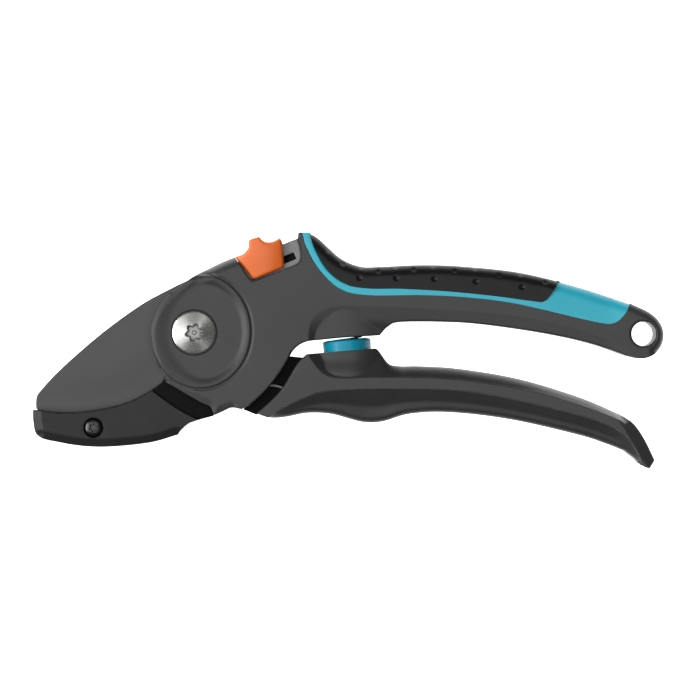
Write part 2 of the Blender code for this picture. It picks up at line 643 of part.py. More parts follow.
def make_spring():
    """A closed-end coil round the spring axis."""
    steps = 14 * COILS
    bm = bmesh.new()
    rings = []
    for i in range(steps + 1):
        t = i / steps
        angle = 2 * pi * COILS * t
        height = SPRING_LOW + WIRE_R + (SPRING_HIGH - SPRING_LOW - 2 * WIRE_R) * t
        ring = []
        for k in range(WIRE_SIDES):
            a = 2 * pi * k / WIRE_SIDES
            r = SPRING_R + WIRE_R * cos(a)
            ring.append(bm.verts.new((r * cos(angle) * MM, r * sin(angle) * MM, (height + WIRE_R * sin(a)) * MM)))
        rings.append(ring)
    for a, b in zip(rings, rings[1:]):
        for k in range(WIRE_SIDES):
            after = (k + 1) % WIRE_SIDES
            bm.faces.new((a[k], a[after], b[after], b[k]))
    bm.faces.new(rings[0])
    bm.faces.new(rings[-1])
    bm.transform(Matrix.Translation(at(AXIS_X, AXIS_Y, 0)) @ Matrix.Rotation(radians(TILT), 4, 'Z')
                 @ Matrix.Rotation(radians(-90), 4, 'X'))
    return object_from("return_spring", bm)


# ---------------------------------------------------------------- assembly

def dress(obj, made):
    obj.data.materials.append(made)
    obj.data.shade_smooth()
    obj.data.set_sharp_from_angle(angle=radians(32))


def axis_empty(name, point):
    empty = bpy.data.objects.new(name, None)
    empty.location = point
    empty.empty_display_size = 0.01
    bpy.context.scene.collection.objects.link(empty)
    bpy.context.view_layer.update()
    return empty


def main():
    for obj in list(bpy.data.objects):
        bpy.data.objects.remove(obj, do_unlink=True)
    looks = make_materials()
    fixed = [(make_upper_handle(), "nylon"), (make_accent(), "accent"), (make_grip(), "soft"),
             (make_carrier(), "jaw"), (make_plate(), "anvil"), (make_anvil_screw(), "dark_steel"),
             (make_anvil_nut(), "dark_steel"), (make_bolt(), "steel"), (make_nut(), "steel"),
             (make_bush(), "steel"), (make_washer("pivot_washer_front", 1), "black"),
             (make_washer("pivot_washer_rear", -1), "black"), (make_detent(), "steel")]
    fixed += [(make_neck_pin(i + 1, x, y), "steel") for i, (x, y) in enumerate(NECK_PINS)]
    turning = [(make_lower_handle(), "nylon"), (make_lining(), "lining"), (make_lever(), "black"),
               (make_blade(), "blade"), (make_spring(), "steel")]
    turning += [(make_rivet(i + 1, x, y), "steel") for i, (x, y) in enumerate(RIVETS)]
    sliding = [(make_slider(), "lock"), (make_lock_pin(), "steel")]
    adjusting = [(make_wheel(), "wheel"), (make_seat(), "black")]

    pivot = at(0, 0, 0)
    pivot_axis = axis_empty("axis_handle_pivot", pivot)
    lock_axis = axis_empty("axis_lock_slide", at(LOCK_PIN_X, LOCK_PIN_Y, 0))
    wheel_axis = axis_empty("axis_adjuster", at(AXIS_X, AXIS_Y, 0))
    for obj, look in fixed:
        dress(obj, looks[look])
    for group, empty in ((turning, pivot_axis), (sliding, lock_axis), (adjusting, wheel_axis)):
        for obj, look in group:
            dress(obj, looks[look])
            obj.parent = empty
            obj.matrix_parent_inverse = empty.matrix_world.inverted()


main()
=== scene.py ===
"""Looks of the anvil pruner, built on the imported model.

Outlines are in millimetres from the pivot and heights in millimetres from the middle plane, as in
the model's source. put() turns both into metres in the record's frame.
"""

import json
from math import cos, pi, radians, sin

import bmesh
import bpy
import numpy as np
from mathutils import Matrix, Vector
from mathutils.geometry import delaunay_2d_cdt


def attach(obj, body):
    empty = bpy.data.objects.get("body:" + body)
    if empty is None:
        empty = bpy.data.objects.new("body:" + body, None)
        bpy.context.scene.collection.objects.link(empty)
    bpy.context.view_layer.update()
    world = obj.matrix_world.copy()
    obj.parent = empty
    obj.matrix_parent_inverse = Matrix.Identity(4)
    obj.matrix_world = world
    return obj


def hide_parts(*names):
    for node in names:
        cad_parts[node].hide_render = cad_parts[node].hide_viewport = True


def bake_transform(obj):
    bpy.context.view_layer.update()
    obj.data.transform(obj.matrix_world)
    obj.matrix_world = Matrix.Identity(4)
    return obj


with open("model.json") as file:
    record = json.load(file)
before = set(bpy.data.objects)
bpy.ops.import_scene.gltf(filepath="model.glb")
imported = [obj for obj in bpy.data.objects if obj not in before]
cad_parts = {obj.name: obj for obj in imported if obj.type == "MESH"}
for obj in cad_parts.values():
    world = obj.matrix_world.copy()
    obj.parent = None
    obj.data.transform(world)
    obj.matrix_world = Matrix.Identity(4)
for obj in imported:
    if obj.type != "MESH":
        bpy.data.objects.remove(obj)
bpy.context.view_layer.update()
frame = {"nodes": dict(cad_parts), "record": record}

MM = 0.001
JOINTS = {joint["name"]: joint for joint in frame["record"]["behaviour"]["joints"]}
PIVOT = Vector(JOINTS["handle_pivot"]["pos_m"])
WHEEL_AT = Vector(JOINTS["wheel_turn"]["pos_m"])
WHEEL_AXIS = Vector(JOINTS["wheel_turn"]["axis"]).normalized()
TRACK = Vector(JOINTS["lock_slide"]["axis"])

# Half thicknesses, from the middle plane
FACE = 9.3          # flat sides of hub and handles
LINING_FACE = 9.0   # lining of the lower handle, at its upper border
JAW_FACE = 5.6      # jaw arm
NECK_FACE = 4.4     # recessed neck between jaw and hub
STRIP_FACE = 3.2    # strip in the jaw's groove
RIB_FACE = 5.6      # rib on the lever
BLADE_FACE = 1.48   # blade, away from its edge
TRACK_FLOOR = 5.6   # floor of the lock's recess in the body
TRACK_PLATE = 5.95  # plate on that floor
SLIDER_INSIDE = 6.05    # inner sides of the thumb slider
BOLT_SEAT = 7.2     # floor of the counterbore for the bolt's head
SLOT = 5.0          # slot for the lever
POCKET = 4.2        # pocket in the lower handle for the lever's tail
OUTSIDE = 14.0      # beyond both sides, for cutters

SLOT_R = 19.0       # round part of the slot, about the pivot
BOLT_SEAT_R = 7.95
BOLT_HOLE_R = 3.5
BLADE_EYE_R = 5.1
UPPER_BORE_R = 6.2  # bores for the spring
LOWER_BORE_R = 6.4

BEVEL = 2.3         # width of the bevel on the hub's lower edge

# Crest of the oval rim round the pivot bolt
RIM_X, RIM_Y, RIM_RX, RIM_RY = 2.1, 0.4, 16.4, 18.5
HOLE_X, HOLE_Y, HOLE_R = 152.4, -0.4, 4.2
# Rounded end of the upper handle
TAIL_X, TAIL_Y, TAIL_R = 151.4, -0.9, 7.9
JAW_SCREW_X, JAW_SCREW_Y = -34.4, -32.3
# Lock pin at rest, at the end of its slot nearest the bolt
PIN_X, PIN_Y = 28.2, 23.8
# Spring bosses of the upper and the lower handle
UPPER_BOSS_X, LOWER_BOSS_X, BOSS_HALF = 51.0, 52.4, 12.6

# Points are laid along these depths inside an outline
RINGS = (0.1, 0.3, 0.6, 1.0, 1.6, 2.3, 3.1)
DEEP_RINGS = (0.1, 0.25, 0.5, 0.9, 1.4, 2.0, 2.7, 3.5, 4.3)
EDGE_STEP = 0.5
CREASE_STEP = 0.4
STAR_STEPS = 72
# How far loose points stay from an edge, from a crease and from each other
EDGE_CLEAR, CREASE_CLEAR, LEAST_GAP = 0.085, 0.17, 0.24
CREASE_END = 0.06   # a crease stops this far from an edge
ROW_PITCH = 0.866   # between rows of even triangles, as a share of their spacing
# Rows of points down a side wall, as shares of its height
WALL_ROWS = (0.025, 0.5, 0.975)


# ---------------------------------------------------------------- outlines

def arc(cx, cy, rx, start, end, steps, ry=None):
    ry = ry or rx
    angles = [radians(start + (end - start) * i / steps) for i in range(steps + 1)]
    return [(cx + rx * cos(a), cy + ry * sin(a)) for a in angles]


def circle(cx, cy, radius, count=36):
    return arc(cx, cy, radius, 0, 360 - 360 / count, count - 1)


def sweep(points, steps=6):
    """A Catmull-Rom curve through the points, ends included."""
    first = (2 * points[0][0] - points[1][0], 2 * points[0][1] - points[1][1])
    last = (2 * points[-1][0] - points[-2][0], 2 * points[-1][1] - points[-2][1])
    line = [first] + list(points) + [last]
    out = []
    for a, b, c, d in zip(line, line[1:], line[2:], line[3:]):
        for i in range(steps):
            t = i / steps
            out.append(tuple(
                0.5 * (2 * q + (r - p) * t + (2 * p - 5 * q + 4 * r - s) * t * t
                       + (3 * q - p - 3 * r + s) * t ** 3)
                for p, q, r, s in zip(a, b, c, d)))
    return out + [tuple(points[-1])]


def join_runs(*runs):
    out = []
    for run in runs:
        for point in run:
            if not out or abs(point[0] - out[-1][0]) + abs(point[1] - out[-1][1]) > 0.02:
                out.append(tuple(point))
    if abs(out[0][0] - out[-1][0]) + abs(out[0][1] - out[-1][1]) < 0.02:
        out.pop()
    return out


def moved(points, dx, dy):
    return [(x + dx, y + dy) for x, y in points]


def track_height(x):
    return 32.0 + (x - 35.0) * TRACK.y / TRACK.x


def accent_lower():
    return sweep([(36.4, 33.98), (38.0, 28.8), (42.4, 21.2), (49.5, 14.7), (59.1, 12.7), (78.1, 12.7),
                  (94.1, 11.8), (110.2, 9.6), (136.1, 3.6), (142.3, 3.3), (145.7, 6.0), (147.9, 9.9)])


def accent_upper():
    return sweep([(39.2, 34.0), (40.0, 30.5), (44.7, 21.7), (51.4, 16.4), (59.1, 14.9), (70.1, 14.8),
                  (86.1, 13.9), (102.2, 12.3), (114.2, 10.7), (118.6, 10.6), (121.8, 14.2),
                  (123.7, 17.6)])


def handle_top():
    return sweep([(147.7, 9.8), (131.0, 15.3), (110.6, 20.4), (90.2, 22.6), (76.6, 23.0), (63.0, 22.4),
                  (56.2, 22.5), (49.4, 25.4), (41.8, 32.2), (38.0, 33.9), (35.3, 34.0)], 12)


def hub_left():
    return sweep([(-1.6, 18.2), (-6.0, 14.8), (-10.4, 10.7), (-13.5, 5.3), (-14.7, 0.9), (-14.4, -3.2),
                  (-13.6, -7.3), (-12.2, -11.0), (-10.9, -13.8), (-9.8, -16.6)])


def hub_band():
    return sweep([(-9.8, -16.6), (1.6, -23.2), (5.3, -25.0), (6.7, -27.8)])


def bevelled_edge():
    """The hub's lower edge, which carries a bevel, from the rim to the toe of the body."""
    return hub_band() + [(9.6, -26.8), (12.6, -25.5)]


def body_lower_run():
    foot = sweep([(6.9, -28.0), (9.6, -26.8), (12.6, -25.5), (16.1, -26.0)])
    front = sweep([(16.1, -26.0), (20.6, -23.1), (26.1, -17.5), (30.7, -10.9), (33.4, -6.0),
                   (37.4, -3.2), (43.1, -2.4), (51.5, -1.6), (62.9, -0.9)])
    under = sweep([(62.9, -0.9), (65.8, 2.1), (69.8, 3.6), (83.4, 3.7), (97.0, 2.9), (117.4, 0.0),
                   (133.7, -3.5), (147.1, -8.0)])
    return join_runs(foot, front, under)


def hub_top():
    return sweep([(13.4, 25.7), (8.6, 23.7), (1.8, 20.3), (-1.6, 18.2)])


def tail_run():
    return arc(TAIL_X, TAIL_Y, TAIL_R, -110, 32, 30) + tail_top()[1:]


def tail_top():
    return sweep([(158.1, 3.29), (156.6, 5.2), (154.2, 7.0), (151.4, 8.4), (148.6, 9.6)])


def body_outline():
    track = [(35.3, 34.0), (35.0, track_height(35.0)), (14.6, track_height(14.6)), (13.4, 25.7)]
    return join_runs(hub_left(), hub_band(), body_lower_run(), tail_run(), accent_lower()[::-1], track,
                     hub_top())


def between(line, low, high):
    return [p for p in line if low < p[0] < high]


def accent_outline():
    block_top = between(handle_top(), 123.9, 147.8)
    return join_runs(accent_lower(), block_top, accent_upper()[::-1], [(37.8, 33.95)])


def grip_outline():
    return join_runs(accent_upper(), between(handle_top(), 39.4, 123.5))


def lower_rim():
    return sweep([(38.1, -7.3), (34.8, -10.6), (30.0, -18.5), (25.5, -23.4), (20.9, -27.4)])


def lower_bottom():
    return sweep([(20.9, -27.4), (25.8, -28.9), (31.3, -28.6), (38.3, -27.3), (46.6, -27.7),
                  (57.0, -30.4), (64.0, -30.2), (73.2, -27.6), (86.8, -27.1), (107.2, -29.5),
                  (130.2, -34.7), (140.1, -37.9), (146.0, -40.2)])


def lower_tip():
    return join_runs(sweep([(146.0, -40.2), (149.4, -42.8), (151.7, -45.1), (154.3, -46.15)]),
                     sweep([(154.3, -46.15), (156.2, -43.3)], 2),
                     sweep([(156.2, -43.3), (153.2, -37.0), (150.4, -32.5), (148.0, -30.0),
                            (144.9, -27.9)]))


def lower_top():
    return sweep([(144.9, -27.9), (131.3, -22.1), (110.6, -15.8), (90.2, -12.3), (76.6, -11.4),
                  (69.8, -11.4), (65.8, -10.4), (62.2, -5.8), (59.7, -5.5)])


def lining_line():
    """Border between the grey shell and its lining."""
    return sweep([(25.2, -28.8), (29.3, -26.2), (37.6, -22.2), (46.6, -19.8), (69.8, -19.1),
                  (94.1, -20.3), (124.2, -26.5), (140.9, -31.9), (148.1, -37.6), (151.9, -45.0)])


def lower_outline():
    """The grey shell: the lower handle without its lining."""
    foot = between(lower_bottom(), 20.0, 25.0)
    tip = [p for p in lower_tip() if p[0] > 152.2 or p[1] > -40.0]
    return join_runs(lower_rim(), foot, lining_line(), tip, lower_top(), [(59.7, -5.5), (43.9, -6.8)])


def lining_outline():
    tip = [p for p in lower_tip() if p[0] < 151.6 and p[1] < -40.0]
    bottom = between(lower_bottom(), 25.4, 145.9)
    return join_runs(lining_line(), tip[::-1], bottom[::-1])


def cutting_line():
    return sweep([(-54.3, -26.0), (-50.3, -26.7), (-43.5, -27.1), (-36.6, -26.6), (-27.5, -25.0),
                  (-20.7, -22.7), (-13.9, -18.9)])


def blade_spine():
    return sweep([(-1.2, 18.45), (-8.4, 15.0), (-18.6, 9.4), (-32.2, -0.5), (-45.8, -12.4),
                  (-52.6, -19.6), (-54.2, -22.2), (-54.3, -26.0)])


def blade_outline():
    heel = [(-11.2, -16.9), (-8.6, -11.4), (-4.0, -11.2), (4.0, -11.2), (12.5, -12.6)]
    tang = [(22.2, -18.6), (26.2, -12.8), (23.4, -8.8)]
    back = sweep([(11.5, 1.0), (9.0, 8.0), (4.5, 13.0), (-1.2, 18.45)])
    return join_runs(cutting_line(), heel, tang, back, blade_spine())


def jaw_belly():
    return sweep([(-49.5, -36.7), (-39.0, -38.5), (-28.8, -38.8), (-15.2, -37.4), (-5.9, -34.8)])


def jaw_outline():
    tip = sweep([(-55.1, -26.3), (-55.0, -29.9), (-54.2, -34.0), (-52.1, -35.9), (-49.5, -36.7)])
    notch = sweep([(-5.9, -34.8), (-4.8, -33.3), (-2.5, -31.2), (0.4, -30.0), (6.3, -28.3)])
    seat = moved(cutting_line()[:-1], 0.0, -0.3)
    return join_runs(tip, jaw_belly(), notch, seat_corner(), seat[::-1])


def seat_corner():
    """Lower edge of the recessed neck, right to left."""
    return sweep([(6.3, -28.3), (2.6, -28.8), (0.7, -29.2), (-4.8, -26.4), (-9.3, -23.5), (-13.0, -20.7),
                  (-14.4, -19.6)], 4)


def neck_outline():
    return [(-14.3, -20.4), (-13.95, -19.05), (-11.2, -17.0), (-9.8, -14.2), (-7.8, -15.0),
            (-3.0, -15.8), (2.4, -16.4), (5.0, -21.0), (6.6, -27.6), (6.2, -28.3), (0.4, -29.8),
            (-5.2, -28.0), (-10.2, -24.6)]


def lock_outline():
    return join_runs(
        sweep([(13.6, 25.65), (16.4, 26.6), (18.2, 28.6), (18.4, 30.9), (19.2, 31.7), (22.0, 32.6)]),
        sweep([(22.0, 32.6), (23.7, 31.0), (26.2, 30.8), (28.9, 32.1)]),
        sweep([(28.9, 32.1), (29.6, 31.0), (30.2, 26.5), (30.3, 22.4), (29.4, 21.7)]),
        sweep([(29.4, 21.7), (25.0, 19.9), (21.2, 18.35), (20.1, 18.15), (19.4, 18.5), (18.9, 19.2)]),
        [(13.6, 25.65)])


def pocket_outline():
    """The recess that the slider runs in."""
    low = sweep([(18.4, 18.0), (19.3, 17.3), (20.9, 17.4), (30.4, 21.1), (34.6, 22.6), (36.0, 23.8),
                 (36.4, 25.7), (36.1, 29.4), (35.0, 33.0)])
    return [(9.0, 32.6)] + low + [(33.0, 40.0)]


# ---------------------------------------------------------------- geometry helpers

def ramp(value, low, high):
    """0 below low, 1 above high, smooth between."""
    t = np.clip((value - low) / (high - low), 0.0, 1.0)
    return t * t * (3 - 2 * t)


def round_off(distance, width, drop):
    """How far a rounded edge lies under the face, at a distance from the outline."""
    t = np.clip(1 - distance / width, 0.0, 1.0)
    return drop * (1 - np.sqrt(np.maximum(1 - t * t, 0.0)))


def larger(first, second, width):
    """The larger of two heights, lifted a little on both sides of the line where they meet.

    The share, about log 2, leaves the line itself where it is.
    """
    share = 0.69
    close = np.exp(-np.abs(first - second) / width)
    return np.maximum(first, second) + width * np.log1p(close) - width * share * close


def distance_to(points, line, closed=False):
    """Distance from each point to a polyline."""
    ends = np.asarray(line, float)
    a, b = (ends, np.roll(ends, -1, 0)) if closed else (ends[:-1], ends[1:])
    best = np.full(len(points), 1e9)
    for start in range(0, len(a), 64):
        p, q = a[start:start + 64], b[start:start + 64]
        d = q - p
        length = np.maximum((d * d).sum(1), 1e-12)
        rel = points[:, None, :] - p[None]
        t = np.clip((rel * d[None]).sum(2) / length, 0, 1)
        gap = np.hypot(*(rel - t[..., None] * d[None]).transpose(2, 0, 1))
        best = np.minimum(best, gap.min(1))
    return best


def inside(points, loop):
    """Even-odd test of points against a closed outline."""
    ends = np.asarray(loop, float)
    a, b = ends, np.roll(ends, -1, 0)
    hits = np.zeros(len(points), int)
    for p, q in zip(a, b):
        if p[1] == q[1]:
            continue
        crosses = (p[1] > points[:, 1]) != (q[1] > points[:, 1])
        x = p[0] + (points[:, 1] - p[1]) * (q[0] - p[0]) / (q[1] - p[1])
        hits += crosses & (points[:, 0] < x)
    return hits % 2 == 1


def resample(loop, step, closed=True):
    """Points at most a step apart, with every corner kept."""
    ends = [np.array(p, float) for p in loop]
    out = []
    count = len(ends)
    for i in range(count if closed else count - 1):
        p, q = ends[i], ends[(i + 1) % count]
        parts = max(1, int(np.ceil(np.linalg.norm(q - p) / step)))
        out += [p + (q - p) * k / parts for k in range(parts)]
    if not closed:
        out.append(ends[-1])
    return np.array(out)


def within(points, loops, margin):
    """Which points are inside the outline, outside its holes and clear of both by the margin."""
    keep = inside(points, loops[0])
    for hole in loops[1:]:
        keep &= ~inside(points, hole)
    for loop in loops:
        close = np.flatnonzero(keep)
        keep[close] = distance_to(points[close], loop, True) > margin
    return keep


def ring_points(loop, depth):
    """The outline moved by the depth, both inwards and outwards. within() drops the outer points."""
    before, after = np.roll(loop, 1, 0), np.roll(loop, -1, 0)
    along = after - before
    along /= np.maximum(np.linalg.norm(along, axis=1), 1e-9)[:, None]
    normal = np.stack([-along[:, 1], along[:, 0]], 1)
    return np.concatenate([loop + normal * depth, loop - normal * depth])


def thinned(points, fixed, gap):
    """Points no closer than about the gap to each other, or to the fixed ones, in their order."""
    cells = {tuple(c) for c in np.floor(fixed / gap).astype(int)}
    keep = []
    for point, cell in zip(points, np.floor(points / gap).astype(int)):
        key = tuple(cell)
        if key not in cells:
            cells.add(key)
            keep.append(point)
    return np.array(keep) if keep else np.zeros((0, 2))


def put(x, y, z):
    return (PIVOT.x + x * MM, PIVOT.y + y * MM, PIVOT.z + z * MM)


def mesh_object(name, verts, faces, smooth_angle=42):
    mesh = bpy.data.meshes.new(name)
    mesh.from_pydata([tuple(v) for v in verts], [], [tuple(f) for f in faces])
    bm = bmesh.new()
    bm.from_mesh(mesh)
    bmesh.ops.recalc_face_normals(bm, faces=bm.faces)
    bm.to_mesh(mesh)
    bm.free()
    mesh.shade_smooth()
    mesh.set_sharp_from_angle(angle=radians(smooth_angle))
    obj = bpy.data.objects.new(name, mesh)
    bpy.context.scene.collection.objects.link(obj)
    return obj


def beside(line, step):
    """The open line moved sideways, to the left of its direction."""
    ends = np.asarray(line, float)
    along = np.gradient(ends, axis=0)
    along /= np.maximum(np.linalg.norm(along, axis=1), 1e-9)[:, None]
    return ends + np.stack([-along[:, 1], along[:, 0]], 1) * step


def hex_grid(low, high, spacing):
    """Staggered rows of points over a box."""
    rows = []
    for i, y in enumerate(np.arange(low[1], high[1], spacing * ROW_PITCH)):
        row = np.arange(low[0] + (i % 2) * spacing / 2, high[0], spacing)
        rows.append(np.stack([row, np.full(len(row), y)], 1))
    return rows


def flat_mesh(loops, lines, creases, rings, spacing):
    """Points and triangles over the first loop, less the others. No triangle crosses a crease."""
    extras = [np.asarray(line, float) for line in lines]
    extras += [ring_points(loop, depth) for loop in loops for depth in rings]
    points = np.concatenate(extras + hex_grid(loops[0].min(0), loops[0].max(0), spacing))
    points = points[within(points, loops, EDGE_CLEAR)]
    edges, start = [], 0
    for loop in loops:
        count = len(loop)
        edges += [(start + i, start + (i + 1) % count) for i in range(count)]
        start += count
    fixed = list(loops)
    for crease in creases:
        points = points[distance_to(points, crease) > CREASE_CLEAR]
        run = resample(crease, CREASE_STEP, False)
        keep = within(run, loops, CREASE_END)
        places = start + np.cumsum(keep) - 1
        edges += [(int(a), int(b)) for a, b, p, q in zip(places, places[1:], keep, keep[1:]) if p and q]
        fixed.append(run[keep])
        start += int(keep.sum())
    fixed = np.concatenate(fixed)
    every = np.concatenate([fixed, thinned(points, fixed, LEAST_GAP)])
    flat, _, tris, *_ = delaunay_2d_cdt([Vector(p) for p in every], edges, [], 0, 1e-5)
    flat = np.array([tuple(p) for p in flat])
    tris = np.array([t for t in tris if len(t) == 3])
    middle = flat[tris].mean(1)
    keep = inside(middle, loops[0])
    for hole in loops[1:]:
        keep &= ~inside(middle, hole)
    tris = tris[keep]
    used = np.unique(tris)
    back = np.full(len(flat), -1)
    back[used] = np.arange(len(used))
    return flat[used], back[tris]


def add_walls(verts, faces, flat, tris, top, bottom):
    """Closes the gap between front and back along every free edge."""
    count = len(flat)
    rim = {}
    for a, b in np.concatenate([tris[:, [0, 1]], tris[:, [1, 2]], tris[:, [2, 0]]]):
        key = (min(a, b), max(a, b))
        rim[key] = None if key in rim else (a, b)
    columns = {}
    for pair in filter(None, rim.values()):
        for v in pair:
            if v not in columns:
                column = [v]
                for share in WALL_ROWS:
                    z = top[v] + (bottom[v] - top[v]) * share
                    verts.append(put(flat[v][0], flat[v][1], z))
                    column.append(len(verts) - 1)
                columns[v] = column + [v + count]
        a, b = columns[pair[0]], columns[pair[1]]
        faces += [(a[k + 1], b[k + 1], b[k], a[k]) for k in range(len(WALL_ROWS) + 1)]


def relief(name, outline, height, low=None, holes=(), spacing=0.9, rings=RINGS, lines=(), creases=(),
           smooth_angle=42):
    """A solid over an outline whose front follows height(points, distance to edge).

    The back mirrors the front unless low is set.
    """
    loops = [resample(loop, EDGE_STEP) for loop in (outline, *holes)]
    flat, tris = flat_mesh(loops, lines, creases, rings, spacing)
    distance = np.min([distance_to(flat, loop, True) for loop in loops], axis=0)
    top = height(flat, distance)
    bottom = -top if low is None else np.full(len(top), float(low))
    verts = [put(x, y, z) for (x, y), z in zip(flat, top)]
    verts += [put(x, y, z) for (x, y), z in zip(flat, bottom)]
    faces = [tuple(t) for t in tris] + [tuple(t[::-1] + len(flat)) for t in tris]
    add_walls(verts, faces, flat, tris, top, bottom)
    return mesh_object(name, verts, faces, smooth_angle)


def tapered_cutter(outline, centre, levels):
    """A cutter whose walls lean: levels are (height, scale of the outline about the centre)."""
    cx, cy = centre
    count = len(outline)
    verts = [put(cx + (x - cx) * k, cy + (y - cy) * k, h) for h, k in levels for x, y in outline]
    faces = [tuple(range(count))[::-1], tuple(range(count * (len(levels) - 1), count * len(levels)))]
    for start in range(0, count * (len(levels) - 1), count):
        for i in range(count):
            j = (i + 1) % count
            faces.append((start + i, start + j, start + count + j, start + count + i))
    return mesh_object("cutter", verts, faces)


def prism_cutter(outline, low, high):
    return tapered_cutter(outline, (0, 0), ((low, 1), (high, 1)))


def both_sides(outline, depth):
    """Cutters that lower both sides to the depth."""
    return [prism_cutter(outline, depth, OUTSIDE), prism_cutter(outline, -OUTSIDE, -depth)]


def star_cutter(cx, cy, radius, wave, turn, levels):
    """A recess for a six-pointed driver, whose walls lean outwards."""
    outline = []
    for a in np.arange(STAR_STEPS) * 2 * pi / STAR_STEPS:
        r = radius + wave * cos(6 * a)
        outline.append((cx + r * cos(a + turn), cy + r * sin(a + turn)))
    return tapered_cutter(outline, (cx, cy), levels)


def lathe(name, profile, place, steps=64, closed=False, smooth_angle=35):
    """A profile of (radius, height) in millimetres turned round the local Z of place."""
    verts, rings = [], []
    for r, h in profile:
        if r == 0:
            rings.append([len(verts)] * steps)
            verts.append(place @ Vector((0, 0, h * MM)))
            continue
        rings.append(list(range(len(verts), len(verts) + steps)))
        for i in range(steps):
            a = 2 * pi * i / steps
            verts.append(place @ Vector((r * cos(a) * MM, r * sin(a) * MM, h * MM)))
    faces = []
    pairs = list(zip(rings, rings[1:])) + ([(rings[-1], rings[0])] if closed else [])
    for low, high in pairs:
        for i in range(steps):
            j = (i + 1) % steps
            loop = [low[i], low[j], high[j], high[i]]
            short = [v for k, v in enumerate(loop) if v not in loop[:k]]
            if len(short) > 2:
                faces.append(short)
    return mesh_object(name, verts, faces, smooth_angle)


def carve(obj, cutters, smooth_angle=42):
    """Cuts the cutters out of a piece and applies the result."""
    for cutter in cutters:
        modifier = obj.modifiers.new("cut", 'BOOLEAN')
        modifier.object = cutter
        modifier.operation = 'DIFFERENCE'
        modifier.solver = 'EXACT'
    graph = bpy.context.evaluated_depsgraph_get()
    mesh = bpy.data.meshes.new_from_object(obj.evaluated_get(graph))
    obj.modifiers.clear()
    old, obj.data = obj.data, mesh
    bpy.data.meshes.remove(old)
    for cutter in cutters:
        bpy.data.objects.remove(cutter, do_unlink=True)
    mesh.shade_smooth()
    mesh.set_sharp_from_angle(angle=radians(smooth_angle))


def spring_place():
    """Frame of the spring: Z along its axis, from the wheel's place."""
    turn = WHEEL_AXIS.to_track_quat('Z', 'X').to_matrix().to_4x4()
    return Matrix.Translation(WHEEL_AT) @ turn


def bore_cutter(radius, low, high):
    return lathe("cutter", [(0, low), (radius, low), (radius, high), (0, high)], spring_place(), 40)


# ---------------------------------------------------------------- materials

class Nodes:
    """Short calls for building one material's node tree."""

    def __init__(self, name, colour, roughness, metallic=0.0):
        self.made = bpy.data.materials.new(name)
        self.made.use_nodes = True
        self.tree = self.made.node_tree
        self.shader = self.tree.nodes["Principled BSDF"]
        self.set("Base Color", (*colour, 1.0))
        self.set("Roughness", roughness)
        self.set("Metallic", metallic)
        self.place = self.tree.nodes.new("ShaderNodeTexCoord").outputs["Object"]

    def set(self, socket, value):
        self.shader.inputs[socket].default_value = value

    def link(self, output, socket):
        self.tree.links.new(output, socket)

    def noise(self, scale, detail=3.0, rough=0.55, stretch=(1, 1, 1)):
        mapping = self.tree.nodes.new("ShaderNodeMapping")
        mapping.inputs["Scale"].default_value = stretch
        self.link(self.place, mapping.inputs["Vector"])
        node = self.tree.nodes.new("ShaderNodeTexNoise")
        node.inputs["Scale"].default_value = scale
        node.inputs["Detail"].default_value = detail
        node.inputs["Roughness"].default_value = rough
        self.link(mapping.outputs["Vector"], node.inputs["Vector"])
        return node.outputs["Fac"]

    def span(self, value, low, high, to_low, to_high):
        node = self.tree.nodes.new("ShaderNodeMapRange")
        limits = {"From Min": low, "From Max": high, "To Min": to_low, "To Max": to_high}
        for socket, number in limits.items():
            node.inputs[socket].default_value = number
        self.link(value, node.inputs["Value"])
        return node.outputs["Result"]

    def spread(self, noise, low, high):
        """A noise, which is nearly all between 0.3 and 0.7, spread over a range."""
        return self.span(noise, 0.3, 0.7, low, high)

    def blend(self, factor, first, second):
        node = self.tree.nodes.new("ShaderNodeMix")
        node.data_type = 'RGBA'
        self.link(factor, node.inputs["Factor"])
        for socket, value in ((node.inputs[6], first), (node.inputs[7], second)):
            if isinstance(value, tuple):
                socket.default_value = (*value, 1.0)
            else:
                self.link(value, socket)
        return node.outputs[2]

    def colour(self, output):
        self.link(output, self.shader.inputs["Base Color"])

    def rough(self, output):
        self.link(output, self.shader.inputs["Roughness"])

    def bump(self, output, strength, distance):
        node = self.tree.nodes.new("ShaderNodeBump")
        node.inputs["Strength"].default_value = strength
        node.inputs["Distance"].default_value = distance
        self.link(output, node.inputs["Height"])
        self.link(node.outputs["Normal"], self.shader.inputs["Normal"])


def moulded(name, low, high, roughness, grain=0.35, specks=0.0, gloss=0.35):
    """Glass-filled plastic: fine spark-eroded grain, slow mottling, roughness that varies."""
    n = Nodes(name, high, roughness)
    slow = n.noise(55.0, 2.0, 0.5)
    fine = n.noise(2600.0, 2.0, 0.6)
    mixed = n.blend(n.spread(slow, 0.0, 1.0), low, high)
    if specks:
        dots = n.span(n.noise(5200.0, 1.0, 0.5), 0.70, 0.80, 0.0, specks)
        mixed = n.blend(dots, mixed, tuple(min(1.0, c * 2.2 + 0.04) for c in high))
    n.colour(mixed)
    n.rough(n.spread(fine, roughness - 0.06, roughness + 0.07))
    n.bump(fine, grain, 0.00005)
    n.set("Specular IOR Level", gloss)
    return n.made


def soft_touch(name, low, high, roughness, gloss=0.3):
    """Soft rubber-like skin with a very fine grain."""
    n = Nodes(name, high, roughness)
    n.colour(n.blend(n.spread(n.noise(70.0, 3.0, 0.6), 0.0, 1.0), low, high))
    fine = n.noise(3600.0, 2.0, 0.6)
    n.rough(n.spread(fine, roughness - 0.05, roughness + 0.06))
    n.bump(fine, 0.3, 0.00004)
    n.set("Specular IOR Level", gloss)
    return n.made


